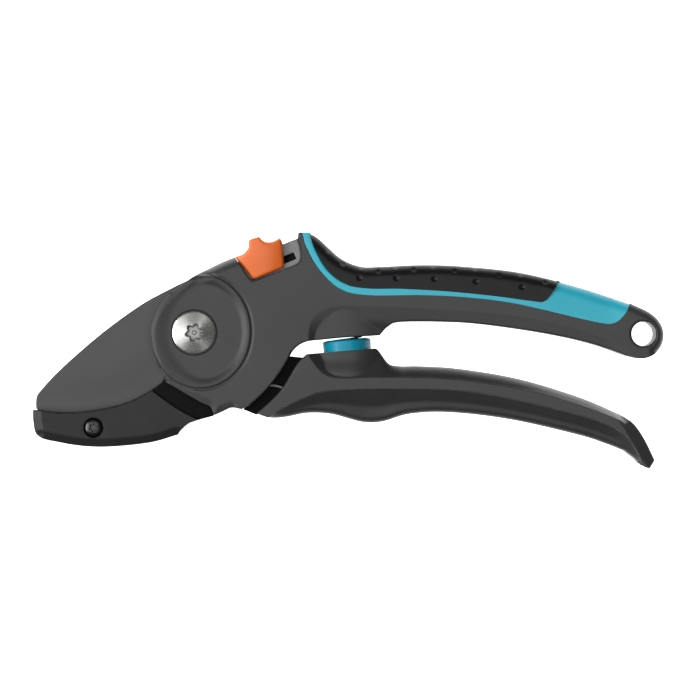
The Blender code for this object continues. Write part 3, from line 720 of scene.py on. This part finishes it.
def coated(name, low, high, roughness):
    """Dark low-friction coating on ground steel, with faint grinding lines along the tool."""
    n = Nodes(name, high, roughness)
    lines = n.noise(1500.0, 2.0, 0.5, (0.04, 1.0, 1.0))
    n.colour(n.blend(n.spread(n.noise(24.0, 2.0, 0.5), 0.0, 1.0), low, high))
    n.rough(n.spread(lines, roughness - 0.015, roughness + 0.02))
    n.bump(lines, 0.02, 0.00002)
    n.set("Specular IOR Level", 0.43)
    return n.made


def metal(name, colour, roughness, scale=1400.0):
    """Bare metal with a very fine grain, drawn out across the tool's thickness."""
    n = Nodes(name, colour, roughness, 1.0)
    marks = n.noise(scale, 2.0, 0.6, (1.0, 1.0, 0.2))
    darker = tuple(c * 0.95 for c in colour)
    n.colour(n.blend(n.spread(n.noise(300.0, 2.0), 0.0, 1.0), darker, colour))
    n.rough(n.spread(marks, roughness - 0.03, roughness + 0.03))
    n.bump(marks, 0.02, 0.00002)
    return n.made


LOOKS = {
    "nylon": moulded("grey_nylon", (0.022, 0.022, 0.0217), (0.026, 0.026, 0.0257), 0.42, 0.30, 0.2, 0.33),
    "jaw": moulded("dark_nylon", (0.008, 0.008, 0.008), (0.011, 0.011, 0.011), 0.40, 0.25, 0.1, 0.2),
    # Near-black neck: its own dark colour, made darker still as painted shade in the recess
    "neck": moulded("neck_black_and_painted_shade", (0.0018, 0.0018, 0.0018), (0.0026, 0.0026, 0.0026), 0.5, 0.2, 0.0, 0.06),
    "black": moulded("black_nylon", (0.0015, 0.0015, 0.0015), (0.0022, 0.0022, 0.0022), 0.5, 0.2, 0.0, 0.05),
    "accent": moulded("turquoise", (0.013, 0.31, 0.405), (0.017, 0.335, 0.43), 0.38, 0.2, 0.0, 0.38),
    "soft": soft_touch("soft_black", (0.0045, 0.0045, 0.0045), (0.0065, 0.0065, 0.0065), 0.34, 0.16),
    "lining": soft_touch("soft_lining", (0.013, 0.013, 0.013), (0.017, 0.017, 0.017), 0.46, 0.3),
    "lock": moulded("orange", (0.60, 0.110, 0.012), (0.65, 0.125, 0.016), 0.32, 0.15, 0.0, 0.4),
    "track": moulded("track_grey", (0.145, 0.148, 0.148), (0.165, 0.168, 0.168), 0.4, 0.15),
    "wheel": moulded("wheel_turquoise", (0.002, 0.20, 0.29), (0.004, 0.22, 0.32), 0.34, 0.12, 0.0, 0.2),
    "blade": coated("coated_blade", (0.021, 0.021, 0.0208), (0.025, 0.025, 0.0248), 0.34),
    "steel": metal("steel", (0.34, 0.34, 0.332), 0.25),
    # Darker steel for the floor of the bolt's star recess: painted shade, as the floor is the same steel as
    # the head
    "recess_steel_painted_shade": metal("recess_steel_painted_shade", (0.19, 0.19, 0.185), 0.3),
    "spring": metal("spring_steel", (0.24, 0.24, 0.235), 0.30, 900.0),
    "dark_steel": metal("dark_steel", (0.045, 0.045, 0.045), 0.28),
    "anvil": moulded("anvil_alloy", (0.010, 0.010, 0.010), (0.014, 0.014, 0.014), 0.45, 0.2, 0.0, 0.2),
}


def wear(piece, look, body, *nodes):
    """Gives a piece its look and its body, in place of the named nodes of the model."""
    piece.data.materials.clear()
    piece.data.materials.append(LOOKS[look])
    if nodes:
        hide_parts(*nodes)
    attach(piece, body)


# ---------------------------------------------------------------- upper body

def low_zone():
    """Upper border of the lowered part of the handle, round the spring boss and along the crease."""
    return sweep([(38.9, -6.0), (38.8, 1.0), (40.4, 5.2), (44.4, 8.1), (49.1, 9.2), (57.0, 9.3),
                  (64.4, 8.9), (78.2, 8.3), (102.2, 6.6), (126.3, 2.4), (148.0, -5.4), (151.0, -9.5)])


def rim_distance(points):
    """Signed distance in millimetres outwards from the crest of the rim round the bolt."""
    x, y = (points[:, 0] - RIM_X) / RIM_RX, (points[:, 1] - RIM_Y) / RIM_RY
    scale = np.hypot(x, y)
    size = 1 / np.maximum(np.hypot(x / RIM_RX, y / RIM_RY) / np.maximum(scale, 1e-6), 1e-6)
    return (scale - 1) * size


def lowered_handle(points):
    """Side of the upper handle: flat above the crease, falling away below it, bulged at the boss."""
    x, y = points[:, 0], points[:, 1]
    zone = low_zone()
    region = zone + [(151.0, -60.0), (38.9, -60.0)]
    depth = distance_to(points, zone) * np.where(inside(points, region), 1.0, 0.0)
    depth = depth * (1 - ramp(x, 138.0, 150.0))
    lowered = FACE - 0.21 * np.clip(depth, 0.0, 9.0)
    bulge = ((x - UPPER_BOSS_X) / BOSS_HALF) ** 2
    fall = np.where(x < UPPER_BOSS_X, 1.1, 2.3)
    boss = FACE - 0.25 - fall * bulge - 0.05 * np.clip(depth, 0, 9)
    slope = FACE - (0.22 + 0.33 * (1 - ramp(y, -4.0, 5.0))) * depth
    share = ramp(x, 60.0, 72.0)
    low = (1 - share) * larger(boss, slope, 0.5) + share * larger(lowered, boss, 0.5)
    return np.where(depth > 0, np.minimum(low, FACE), FACE)


def rim_and_dish(z, x, rim):
    """Adds the rim's crest, the groove outside it and the dish inside it."""
    near = np.exp(-np.clip(rim, 0, None) ** 2 / 18.0)
    z = z - 0.42 * ramp(rim, 0.5, 0.95) * (1 - ramp(rim, 1.05, 1.9)) - 0.12 * near * ramp(rim, 0.9, 1.4)
    z = z + 0.10 * np.exp(-((rim - 0.05) / 0.4) ** 2)
    reach = 2.8 + 3.6 * (1 - ramp(x, RIM_X - 12.0, RIM_X + 4.0))
    return z - 0.85 * (1 - ramp(rim, -reach, -0.2))


def body_height(points, distance):
    x, y = points[:, 0], points[:, 1]
    rim = rim_distance(points)
    z = rim_and_dish(lowered_handle(points), x, rim)
    band = distance_to(points, bevelled_edge())
    outside_rim = ramp(rim, 0.6, 1.6)
    z = z - outside_rim * 0.7 * np.clip(1 - band / BEVEL, 0.0, 1.0)
    top = distance_to(points, [(16.0, 26.7)] + hub_top())
    z = z - round_off(top, 4.2, 6.0) * ramp(x, -1.8, 5.0)
    left = distance_to(points, hub_top()[-4:] + hub_left())
    z = z - 0.62 * np.clip(1 - left / 1.4, 0.0, 1.0) - round_off(left, 0.2, 0.25)
    peak = distance_to(points, [(36.4, 33.98), (35.3, 34.0), (35.0, 32.2)])
    z = z - round_off(peak, 0.7, 0.7)
    tail = distance_to(points, tail_top()[::-1] + arc(TAIL_X, TAIL_Y, TAIL_R, 32, -45, 12))
    z = z - round_off(tail, 3.4, 3.4)
    z = z - round_off(distance_to(points, body_lower_run()), 0.45, 0.45)
    hole = np.hypot(x - HOLE_X, y - HOLE_Y) - HOLE_R
    return z - round_off(hole, 0.9, 0.9)


def upper_body():
    rim_lines = []
    for step in (-2.6, -2.2, -1.8, -1.4, -1.0, -0.6, -0.25, 0.05, 0.35, 0.6, 0.85, 1.1, 1.4, 1.7, 2.0):
        rim_lines.append(arc(RIM_X, RIM_Y, RIM_RX + step, 0, 359, 260, RIM_RY + step))
    zone = resample(low_zone(), CREASE_STEP, False)
    lines = rim_lines + [beside(zone, -d) for d in (0.4, 0.8, 1.2, 1.6, 2.4)]
    bevel = beside(resample(bevelled_edge(), CREASE_STEP, False), BEVEL)
    body = relief("body_shell", body_outline(), body_height, holes=[circle(HOLE_X, HOLE_Y, HOLE_R)],
                  lines=lines, spacing=0.8, creases=[low_zone(), bevel])
    slot = arc(0.0, 0.0, SLOT_R, -5, 93, 30)
    slot += [(-3.0, 24.0), (-30.0, 24.0), (-30.0, -40.0), (44.0, -40.0), (44.0, -5.0), (34.5, -5.8)]
    cutters = [prism_cutter(slot, -SLOT, SLOT)]
    cutters += both_sides(pocket_outline(), TRACK_FLOOR)
    cutters += both_sides(circle(0, 0, BOLT_SEAT_R, 72), BOLT_SEAT)
    slot_middle = tuple(np.mean(lock_slot(), axis=0))
    for side in (1, -1):
        levels = [(side * 0.15, 0.04), (side * 2.6, 1.0), (side * OUTSIDE, 1.0)][::side]
        cutters.append(tapered_cutter(lock_slot(), slot_middle, levels))
    cutters.append(prism_cutter(circle(0, 0, BOLT_HOLE_R), -OUTSIDE, OUTSIDE))
    cutters.append(bore_cutter(UPPER_BORE_R, -1.0, 13.5))
    carve(body, cutters)
    wear(body, "nylon", "upper_body", "upper_handle")


def lock_slot():
    """The slot in the track that the slider's pin runs in."""
    corners = ((-1.3, -1.15), (6.4, -1.15), (6.4, 1.15), (-1.3, 1.15))
    return [(PIN_X + a * TRACK.x - b * TRACK.y, PIN_Y + a * TRACK.y + b * TRACK.x) for a, b in corners]


def track_plate():
    """Smooth inner faces of the lock's track, lighter than the body, with the pin's slot."""
    end = sweep([(30.4, 21.4), (34.4, 22.9), (35.7, 24.0), (36.1, 25.7), (35.8, 29.4), (34.85, 31.75)])
    outline = [(18.6, 18.2), (20.9, 17.7)] + end + [(14.9, track_height(14.9) - 0.1)]

    def face(points, distance):
        return TRACK_PLATE - round_off(distance, 0.25, 0.25)

    for name in ("lock_track_front", "lock_track_rear"):
        plate = relief(name, outline, face, low=4.9, holes=[lock_slot()], spacing=1.2, rings=(0.12, 0.4))
        if name == "lock_track_rear":
            for v in plate.data.vertices:
                v.co.z = 2 * PIVOT.z - v.co.z
            plate.data.flip_normals()
        wear(plate, "track", "upper_body")


def crown(points):
    """How far the rounded top of the upper handle falls away towards its edge."""
    return round_off(distance_to(points, handle_top()), 4.1, 4.2)


def accent_height(points, distance):
    x = points[:, 0]
    share = ramp(x, 40.0, 60.0)
    tilt = 0.13 * ramp(x, 100.0, 128.0) * distance_to(points, accent_lower())
    return FACE - tilt - share * crown(points) - (1 - share) * round_off(distance, 0.5, 0.4)


def accent():
    piece = relief("accent_layer", accent_outline(), accent_height, spacing=0.8)
    wear(piece, "accent", "upper_body", "upper_handle_accent")


# Dimples of the grip, in three rows and at its front end
DIMPLES = ((56.0, 18.5), (68.5, 18.4), (81.4, 18.2), (95.5, 17.3), (111.1, 15.4),
           (62.3, 20.7), (74.4, 21.3), (88.2, 20.8), (103.3, 19.3), (118.9, 17.0),
           (56.5, 22.3), (68.3, 22.5), (81.0, 22.7), (95.3, 21.9), (110.8, 19.9),
           (50.5, 23.3), (45.7, 27.8))


def grip_height(points, distance):
    z = FACE - 0.06 * distance_to(points, accent_upper()) - crown(points)
    for cx, cy in DIMPLES:
        r = np.hypot(points[:, 0] - cx, points[:, 1] - cy)
        z = z - 0.45 * (1 - ramp(r, 0.1, 1.3))
    return z


def grip():
    lines = []
    for cx, cy in DIMPLES:
        for r in (0.001, 0.3, 0.5, 0.7, 0.9, 1.1, 1.4):
            lines.append(arc(cx, cy, r, 0, 340, 13))
    piece = relief("soft_grip", grip_outline(), grip_height, lines=lines, spacing=0.75,
                   rings=DEEP_RINGS + (4.9,))
    wear(piece, "soft", "upper_body", "upper_handle_grip")


# ---------------------------------------------------------------- jaw

def jaw_height(points, distance):
    z = np.full(len(points), JAW_FACE)
    belly = distance_to(points, [(-52.1, -35.9)] + jaw_belly())
    z = z - 1.1 * np.clip(1 - belly / 2.9, 0, 1)
    front = distance_to(points, [(-55.1, -26.3), (-55.0, -29.9), (-54.2, -34.0)])
    z = z - 1.35 * np.clip(1 - front / 3.1, 0, 1)
    z = z - round_off(distance, 0.35, 0.35)
    r = np.hypot(points[:, 0] - JAW_SCREW_X, points[:, 1] - JAW_SCREW_Y)
    return z - 1.3 * (1 - ramp(r, 3.15, 3.4))


def jaw():
    lines = [arc(JAW_SCREW_X, JAW_SCREW_Y, r, 0, 355, 50) for r in (3.05, 3.2, 3.35, 3.5)]
    lines += [moved(jaw_belly(), 0, d) for d in (2.7, 2.9, 3.1)]
    lines += [sweep([(-52.0 + d, -26.6), (-51.9 + d, -31.0), (-51.2 + d, -33.6)]) for d in (-0.1, 0.1)]
    piece = relief("jaw_arm", jaw_outline(), jaw_height, lines=lines, spacing=0.9, smooth_angle=24)
    wear(piece, "jaw", "upper_body", "anvil_carrier")


def anvil_strip():
    """The strip in the jaw's groove that the cutting edge lands on."""
    top = cutting_line()
    bottom = beside(top[3:-2], -2.4).tolist()[::-1]
    outline = join_runs([(-54.2, -28.4)], top[1:], [(-14.2, -21.0)], bottom)

    def face(points, distance):
        return STRIP_FACE - round_off(distance, 0.15, 0.15)

    piece = relief("landing_strip", outline, face, spacing=1.5, rings=(0.1,))
    wear(piece, "anvil", "upper_body", "anvil_plate")


def neck():
    def face(points, distance):
        return NECK_FACE - round_off(distance, 0.5, 0.4)

    piece = relief("jaw_neck", neck_outline(), face, spacing=1.4, rings=(0.15, 0.5))
    # Near black: partly the neck's own colour, partly painted shade of the recess
    wear(piece, "neck", "upper_body")


def jaw_screw():
    place = Matrix.Translation(Vector(put(JAW_SCREW_X, JAW_SCREW_Y, 0)))
    profile = [(0, -5.2), (1.3, -5.2), (1.3, 4.5), (3.05, 4.5), (3.05, 5.2), (2.9, 5.45), (2.4, 5.72),
               (1.6, 6.0), (0, 6.15)]
    piece = lathe("jaw_screw", profile, place, 48)
    levels = ((4.7, 0.7), (5.6, 0.9), (6.15, 1.0), (7.0, 1.1))
    carve(piece, [star_cutter(JAW_SCREW_X, JAW_SCREW_Y, 1.35, 0.28, 0.3, levels)], smooth_angle=35)
    wear(piece, "dark_steel", "upper_body", "anvil_screw")


# ---------------------------------------------------------------- pivot

def bolt():
    profile = [(0, -7.0), (3.4, -7.0), (3.4, 7.4), (7.45, 7.4), (7.5, 8.5), (7.42, 8.72), (7.2, 8.85),
               (6.8, 8.98), (6.0, 9.23), (5.2, 9.48), (4.4, 9.73), (3.6, 9.98), (2.4, 10.34), (0, 10.36)]
    piece = lathe("bolt_head", profile, Matrix.Translation(PIVOT), 96, smooth_angle=20)
    levels = ((7.7, 0.62), (8.3, 0.8), (9.7, 0.92), (10.3, 1.0), (12.0, 1.2))
    carve(piece, [star_cutter(0, 0, 2.9, 0.52, 0.25, levels)], smooth_angle=25)
    # A darker steel disc on the floor of the star recess, as painted shade in the recess
    floor_profile = [(0, 7.5), (2.6, 7.5), (2.6, 8.0), (1.7, 8.25), (0.8, 8.3), (0.55, 8.9), (0, 9.0)]
    floor = lathe("bolt_recess", floor_profile, Matrix.Translation(PIVOT), 32)
    wear(floor, "recess_steel_painted_shade", "upper_body")
    wear(piece, "steel", "upper_body", "pivot_bolt")


# ---------------------------------------------------------------- lock

def lock_height(points, distance):
    x, y = points[:, 0], points[:, 1]
    z = FACE - 0.026 * (x - 22.6) ** 2 - 0.17 * np.clip(26.0 - y, 0, 9)
    z = z - round_off(distance, 0.9, 0.9)
    scoop = np.hypot(x - 25.4, y - 33.4) - 2.6
    return z - 0.5 * (1 - ramp(scoop, 0.0, 1.4))


def lock():
    piece = relief("thumb_slider", lock_outline(), lock_height, spacing=0.6,
                   rings=(0.08, 0.2, 0.4, 0.65, 0.95))
    rise = 0.45    # gap over the top of the body
    web = [(5.0, track_height(5.0) + rise), (5.0, 0.0), (45.0, 0.0), (45.0, track_height(45.0) + rise)]
    carve(piece, [prism_cutter(web, -SLIDER_INSIDE, SLIDER_INSIDE)])
    wear(piece, "lock", "lock", "lock_slider")


# ---------------------------------------------------------------- lower lever

def boss_line():
    """Upper border of the lower handle's flat side, under the spring boss and on to the tip."""
    return sweep([(38.4, -7.2), (39.8, -9.4), (43.2, -13.4), (46.8, -15.2), (52.0, -15.6), (60.0, -15.3),
                  (70.0, -15.3), (83.4, -15.7), (98.0, -17.2), (118.3, -20.9), (133.3, -25.5),
                  (143.2, -29.3), (146.5, -31.2)])


def tip_line():
    """Where the lower handle's flat side turns into the sloping end of its tip."""
    return sweep([(143.0, -28.6), (145.6, -32.2), (147.6, -35.6), (149.6, -38.9), (151.6, -42.4),
                  (154.0, -45.9)])


def turned_top(points):
    """Side of the lower handle: flat below boss_line, turning over into its top or the boss above it."""
    x, y = points[:, 0], points[:, 1]
    border = boss_line()
    region = border + [(152.0, -20.0), (152.0, 20.0), (38.4, 20.0)]
    above = distance_to(points, border) * np.where(inside(points, region), 1.0, 0.0)
    turned = above / np.maximum(above + distance_to(points, lower_top()), 1e-6)
    bow = 1 - np.sqrt(1 - 0.998 * turned ** 2)
    fall = 8.2 * (0.55 * turned * ramp(above, -0.8, 0.6) + 0.45 * bow)
    handle = FACE - 0.25 * ramp(above, 0.0, 0.6) - fall
    sunk = 0.5 + 1.5 * ramp(y, -14.5, -8.0)
    bulge = ((x - LOWER_BOSS_X) / BOSS_HALF) ** 2
    boss = FACE - sunk - np.where(x < LOWER_BOSS_X, 1.4, 5.0) * bulge
    bossed = larger(boss, FACE - 0.8 * above, 0.45)
    share = ramp(x, 62.0, 71.0)
    return np.where(above > 0, np.minimum((1 - share) * bossed + share * handle, FACE), FACE)


def lower_height(points, distance):
    x, y = points[:, 0], points[:, 1]
    z = turned_top(points)
    line = tip_line()
    outer = inside(points, line + [(170.0, -46.0), (165.0, -20.0), (143.0, -20.0)])
    z = z - np.where(outer, 0.55 * np.clip(distance_to(points, line), 0, 9), 0.0)
    z = z - round_off(distance_to(points, lower_rim()), 0.8, 0.8)
    boss_rim = ramp(y, -9.5, -7.5) * (1 - ramp(x, 60.0, 63.0))
    return z - round_off(distance, 0.3, 0.3) * (1 - boss_rim)


def lower_shell():
    border = resample(boss_line(), CREASE_STEP, False)
    piece = relief("lower_shell", lower_outline(), lower_height, spacing=0.75,
                   lines=[beside(border, d) for d in (0.6, 0.9, 1.3, 1.8)],
                   creases=[border, beside(border, 0.15), beside(border, 0.3), tip_line()],
                   rings=DEEP_RINGS)
    pocket = [(10.0, 6.0), (44.4, 6.0), (44.4, -17.9), (31.2, -25.5), (10.0, -33.0)]
    carve(piece, [prism_cutter(pocket, -POCKET, POCKET), bore_cutter(LOWER_BORE_R, -13.2, 4.0)])
    wear(piece, "nylon", "lower_lever", "lower_handle")


def lining_height(points, distance):
    up = distance_to(points, lining_line())
    down = distance_to(points, lower_bottom() + lower_tip()[:9])
    width = np.maximum(up + down, 1e-6)
    ridge, fade = 0.42, 0.22    # shares of the width: where the slope starts to fade, and over how much
    late = np.clip((up / width - ridge) / fade, 0.0, 1.0)
    run = np.minimum(up / width, ridge) + fade * (late - late ** 3 + late ** 4 / 2)
    return LINING_FACE - 0.52 * width * run - round_off(down, 2.3, 2.2)


def lining():
    piece = relief("lower_lining", lining_outline(), lining_height, spacing=0.8, smooth_angle=28,
                   rings=DEEP_RINGS)
    wear(piece, "lining", "lower_lever", "lower_handle_grip")


def blade_height(points, distance):
    edge = distance_to(points, cutting_line())
    z = 0.25 + 1.22 * ramp(edge, 0.0, 15.0)
    z = z - round_off(distance_to(points, blade_spine()), 0.35, 0.35)
    return np.minimum(z, BLADE_FACE)


def blade():
    piece = relief("blade_plate", blade_outline(), blade_height, holes=[circle(0, 0, BLADE_EYE_R)],
                   spacing=1.0, rings=(0.1, 0.25, 0.5, 1.0))
    wear(piece, "blade", "lower_lever", "blade")


# ---------------------------------------------------------------- spring set

def wheel():
    profile = [(5.9, -0.1), (7.0, -0.139), (8.1, -0.139), (8.15, 1.2), (8.2, 2.9), (8.15, 3.15),
               (8.0, 3.35), (7.4, 3.55), (6.9, 3.68), (6.4, 3.76), (5.9, 3.8)]
    piece = lathe("adjuster_ring", profile, spring_place(), 128, closed=True)
    wear(piece, "wheel", "wheel", "adjuster_wheel")


def spring():
    """A coil with flat ends. Its turns above the gather height lie closer together, and the wire is flatter
    there.
    """
    low, high, gather = -7.35, 12.8, 2.8
    wire, coil, turns = 0.55, 4.9, 8.4
    end_turns, close_turns = 0.6, 2.4
    place = spring_place()
    steps, sides = int(40 * turns), 12
    marks = (0.0, end_turns, close_turns, turns - end_turns, turns)
    heights = (low + wire, low + wire + 0.2, gather, high - wire - 0.2, high - wire)
    verts, faces = [], []
    for i in range(steps + 1):
        turned = turns * i / steps
        a = 2 * pi * turned
        h = np.interp(turned, marks, heights)
        flat = 1 - 0.58 * ramp(h, gather - 0.8, gather + 1.6)
        for k in range(sides):
            b = 2 * pi * k / sides
            r = coil + wire * cos(b)
            point = Vector((r * cos(a), r * sin(a), h + flat * wire * sin(b)))
            verts.append(place @ (point * MM))
    for i in range(0, steps * sides, sides):
        for k in range(sides):
            n = (k + 1) % sides
            faces.append((i + k, i + n, i + sides + n, i + sides + k))
    faces += [tuple(range(sides)), tuple(range(steps * sides, (steps + 1) * sides))]
    piece = mesh_object("opening_spring", verts, faces, smooth_angle=60)
    piece.data.materials.append(LOOKS["spring"])
    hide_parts("return_spring")
    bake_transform(piece)


# ---------------------------------------------------------------- carried-over nodes

# Nodes of the model that are shown as they are, in these looks
CARRIED = {
    "anvil_nut": "dark_steel", "anvil_pin_1": "steel", "anvil_pin_2": "steel",
    "pivot_nut": "steel", "pivot_bush": "steel",
    "pivot_washer_front": "black", "pivot_washer_rear": "black",
    "lock_detent_spring": "steel", "lock_pin": "steel",
    "lever_insert": "black", "blade_rivet_1": "steel", "blade_rivet_2": "steel", "spring_seat": "black",
}


def dress_carried():
    for name, look in CARRIED.items():
        node = frame["nodes"][name]
        for slot in node.material_slots:
            slot.material = LOOKS[look]


def lever_rib():
    """Small stiffening rib on the black lever, seen between the handles."""
    outline = sweep([(24.6, -17.5), (27.3, -17.6), (30.2, -18.4)], 4)
    outline += sweep([(30.2, -19.2), (27.3, -18.4), (24.6, -18.3)], 4)

    def face(points, distance):
        return RIB_FACE - round_off(distance, 0.25, 0.2)

    piece = relief("lever_rib", outline, face, spacing=0.6, rings=(0.1, 0.25))
    # The rib is part of the black lever; its lighter track grey is a painted highlight on the ridge
    wear(piece, "track", "lower_lever")


# ---------------------------------------------------------------- stage

def add_area(name, place, target, size, power):
    data = bpy.data.lights.new(name, 'AREA')
    data.shape = 'RECTANGLE'
    data.size, data.size_y = size
    data.energy = power
    lamp = bpy.data.objects.new(name, data)
    lamp.location = place
    lamp.rotation_euler = (Vector(target) - Vector(place)).to_track_quat('-Z', 'Y').to_euler()
    bpy.context.scene.collection.objects.link(lamp)


def stage():
    half, level = 6.0, -0.0004
    verts = [(-half, -half, level), (half, -half, level), (half, half, level), (-half, half, level)]
    floor = mesh_object("floor", verts, [(0, 1, 2, 3)])
    n = Nodes("pale_floor", (0.93, 0.93, 0.93), 0.75)
    n.set("Emission Color", (1, 1, 1, 1))
    n.set("Emission Strength", 1.5)
    floor.data.materials.append(n.made)
    world = bpy.data.worlds.new("studio")
    world.use_nodes = True
    world.node_tree.nodes["Background"].inputs["Color"].default_value = (1, 1, 1, 1)
    world.node_tree.nodes["Background"].inputs["Strength"].default_value = 0.12
    bpy.context.scene.world = world
    add_area("softbox", place=(-0.6, 0.08, 1.4), target=(-0.6, 0.08, 0), size=(2.2, 1.6), power=24.0)
    add_area("side_light", place=(-1.3, 0.05, 0.95), target=(0, 0, 0), size=(1.3, 0.5), power=19.0)
    view = bpy.context.scene.view_settings
    view.view_transform = 'Standard'
    view.look = 'None'


def camera():
    """Straight above the middle of the flat side, wide enough for the whole tool."""
    data = bpy.data.cameras.new("camera")
    data.lens, data.sensor_width = 200.0, 36.0
    wide, level = 0.238, 0.014    # width seen at that height
    data.clip_end = 50
    cam = bpy.data.objects.new("camera", data)
    middle = (0.0007, 0.0002)
    cam.location = (*middle, level + wide * data.lens / data.sensor_width)
    bpy.context.scene.collection.objects.link(cam)
    bpy.context.scene.camera = cam


upper_body()
track_plate()
accent()
grip()
jaw()
anvil_strip()
neck()
jaw_screw()
bolt()
lock()
lower_shell()
lining()
blade()
wheel()
spring()
lever_rib()
dress_carried()
stage()
camera()

bpy.context.view_layer.update()
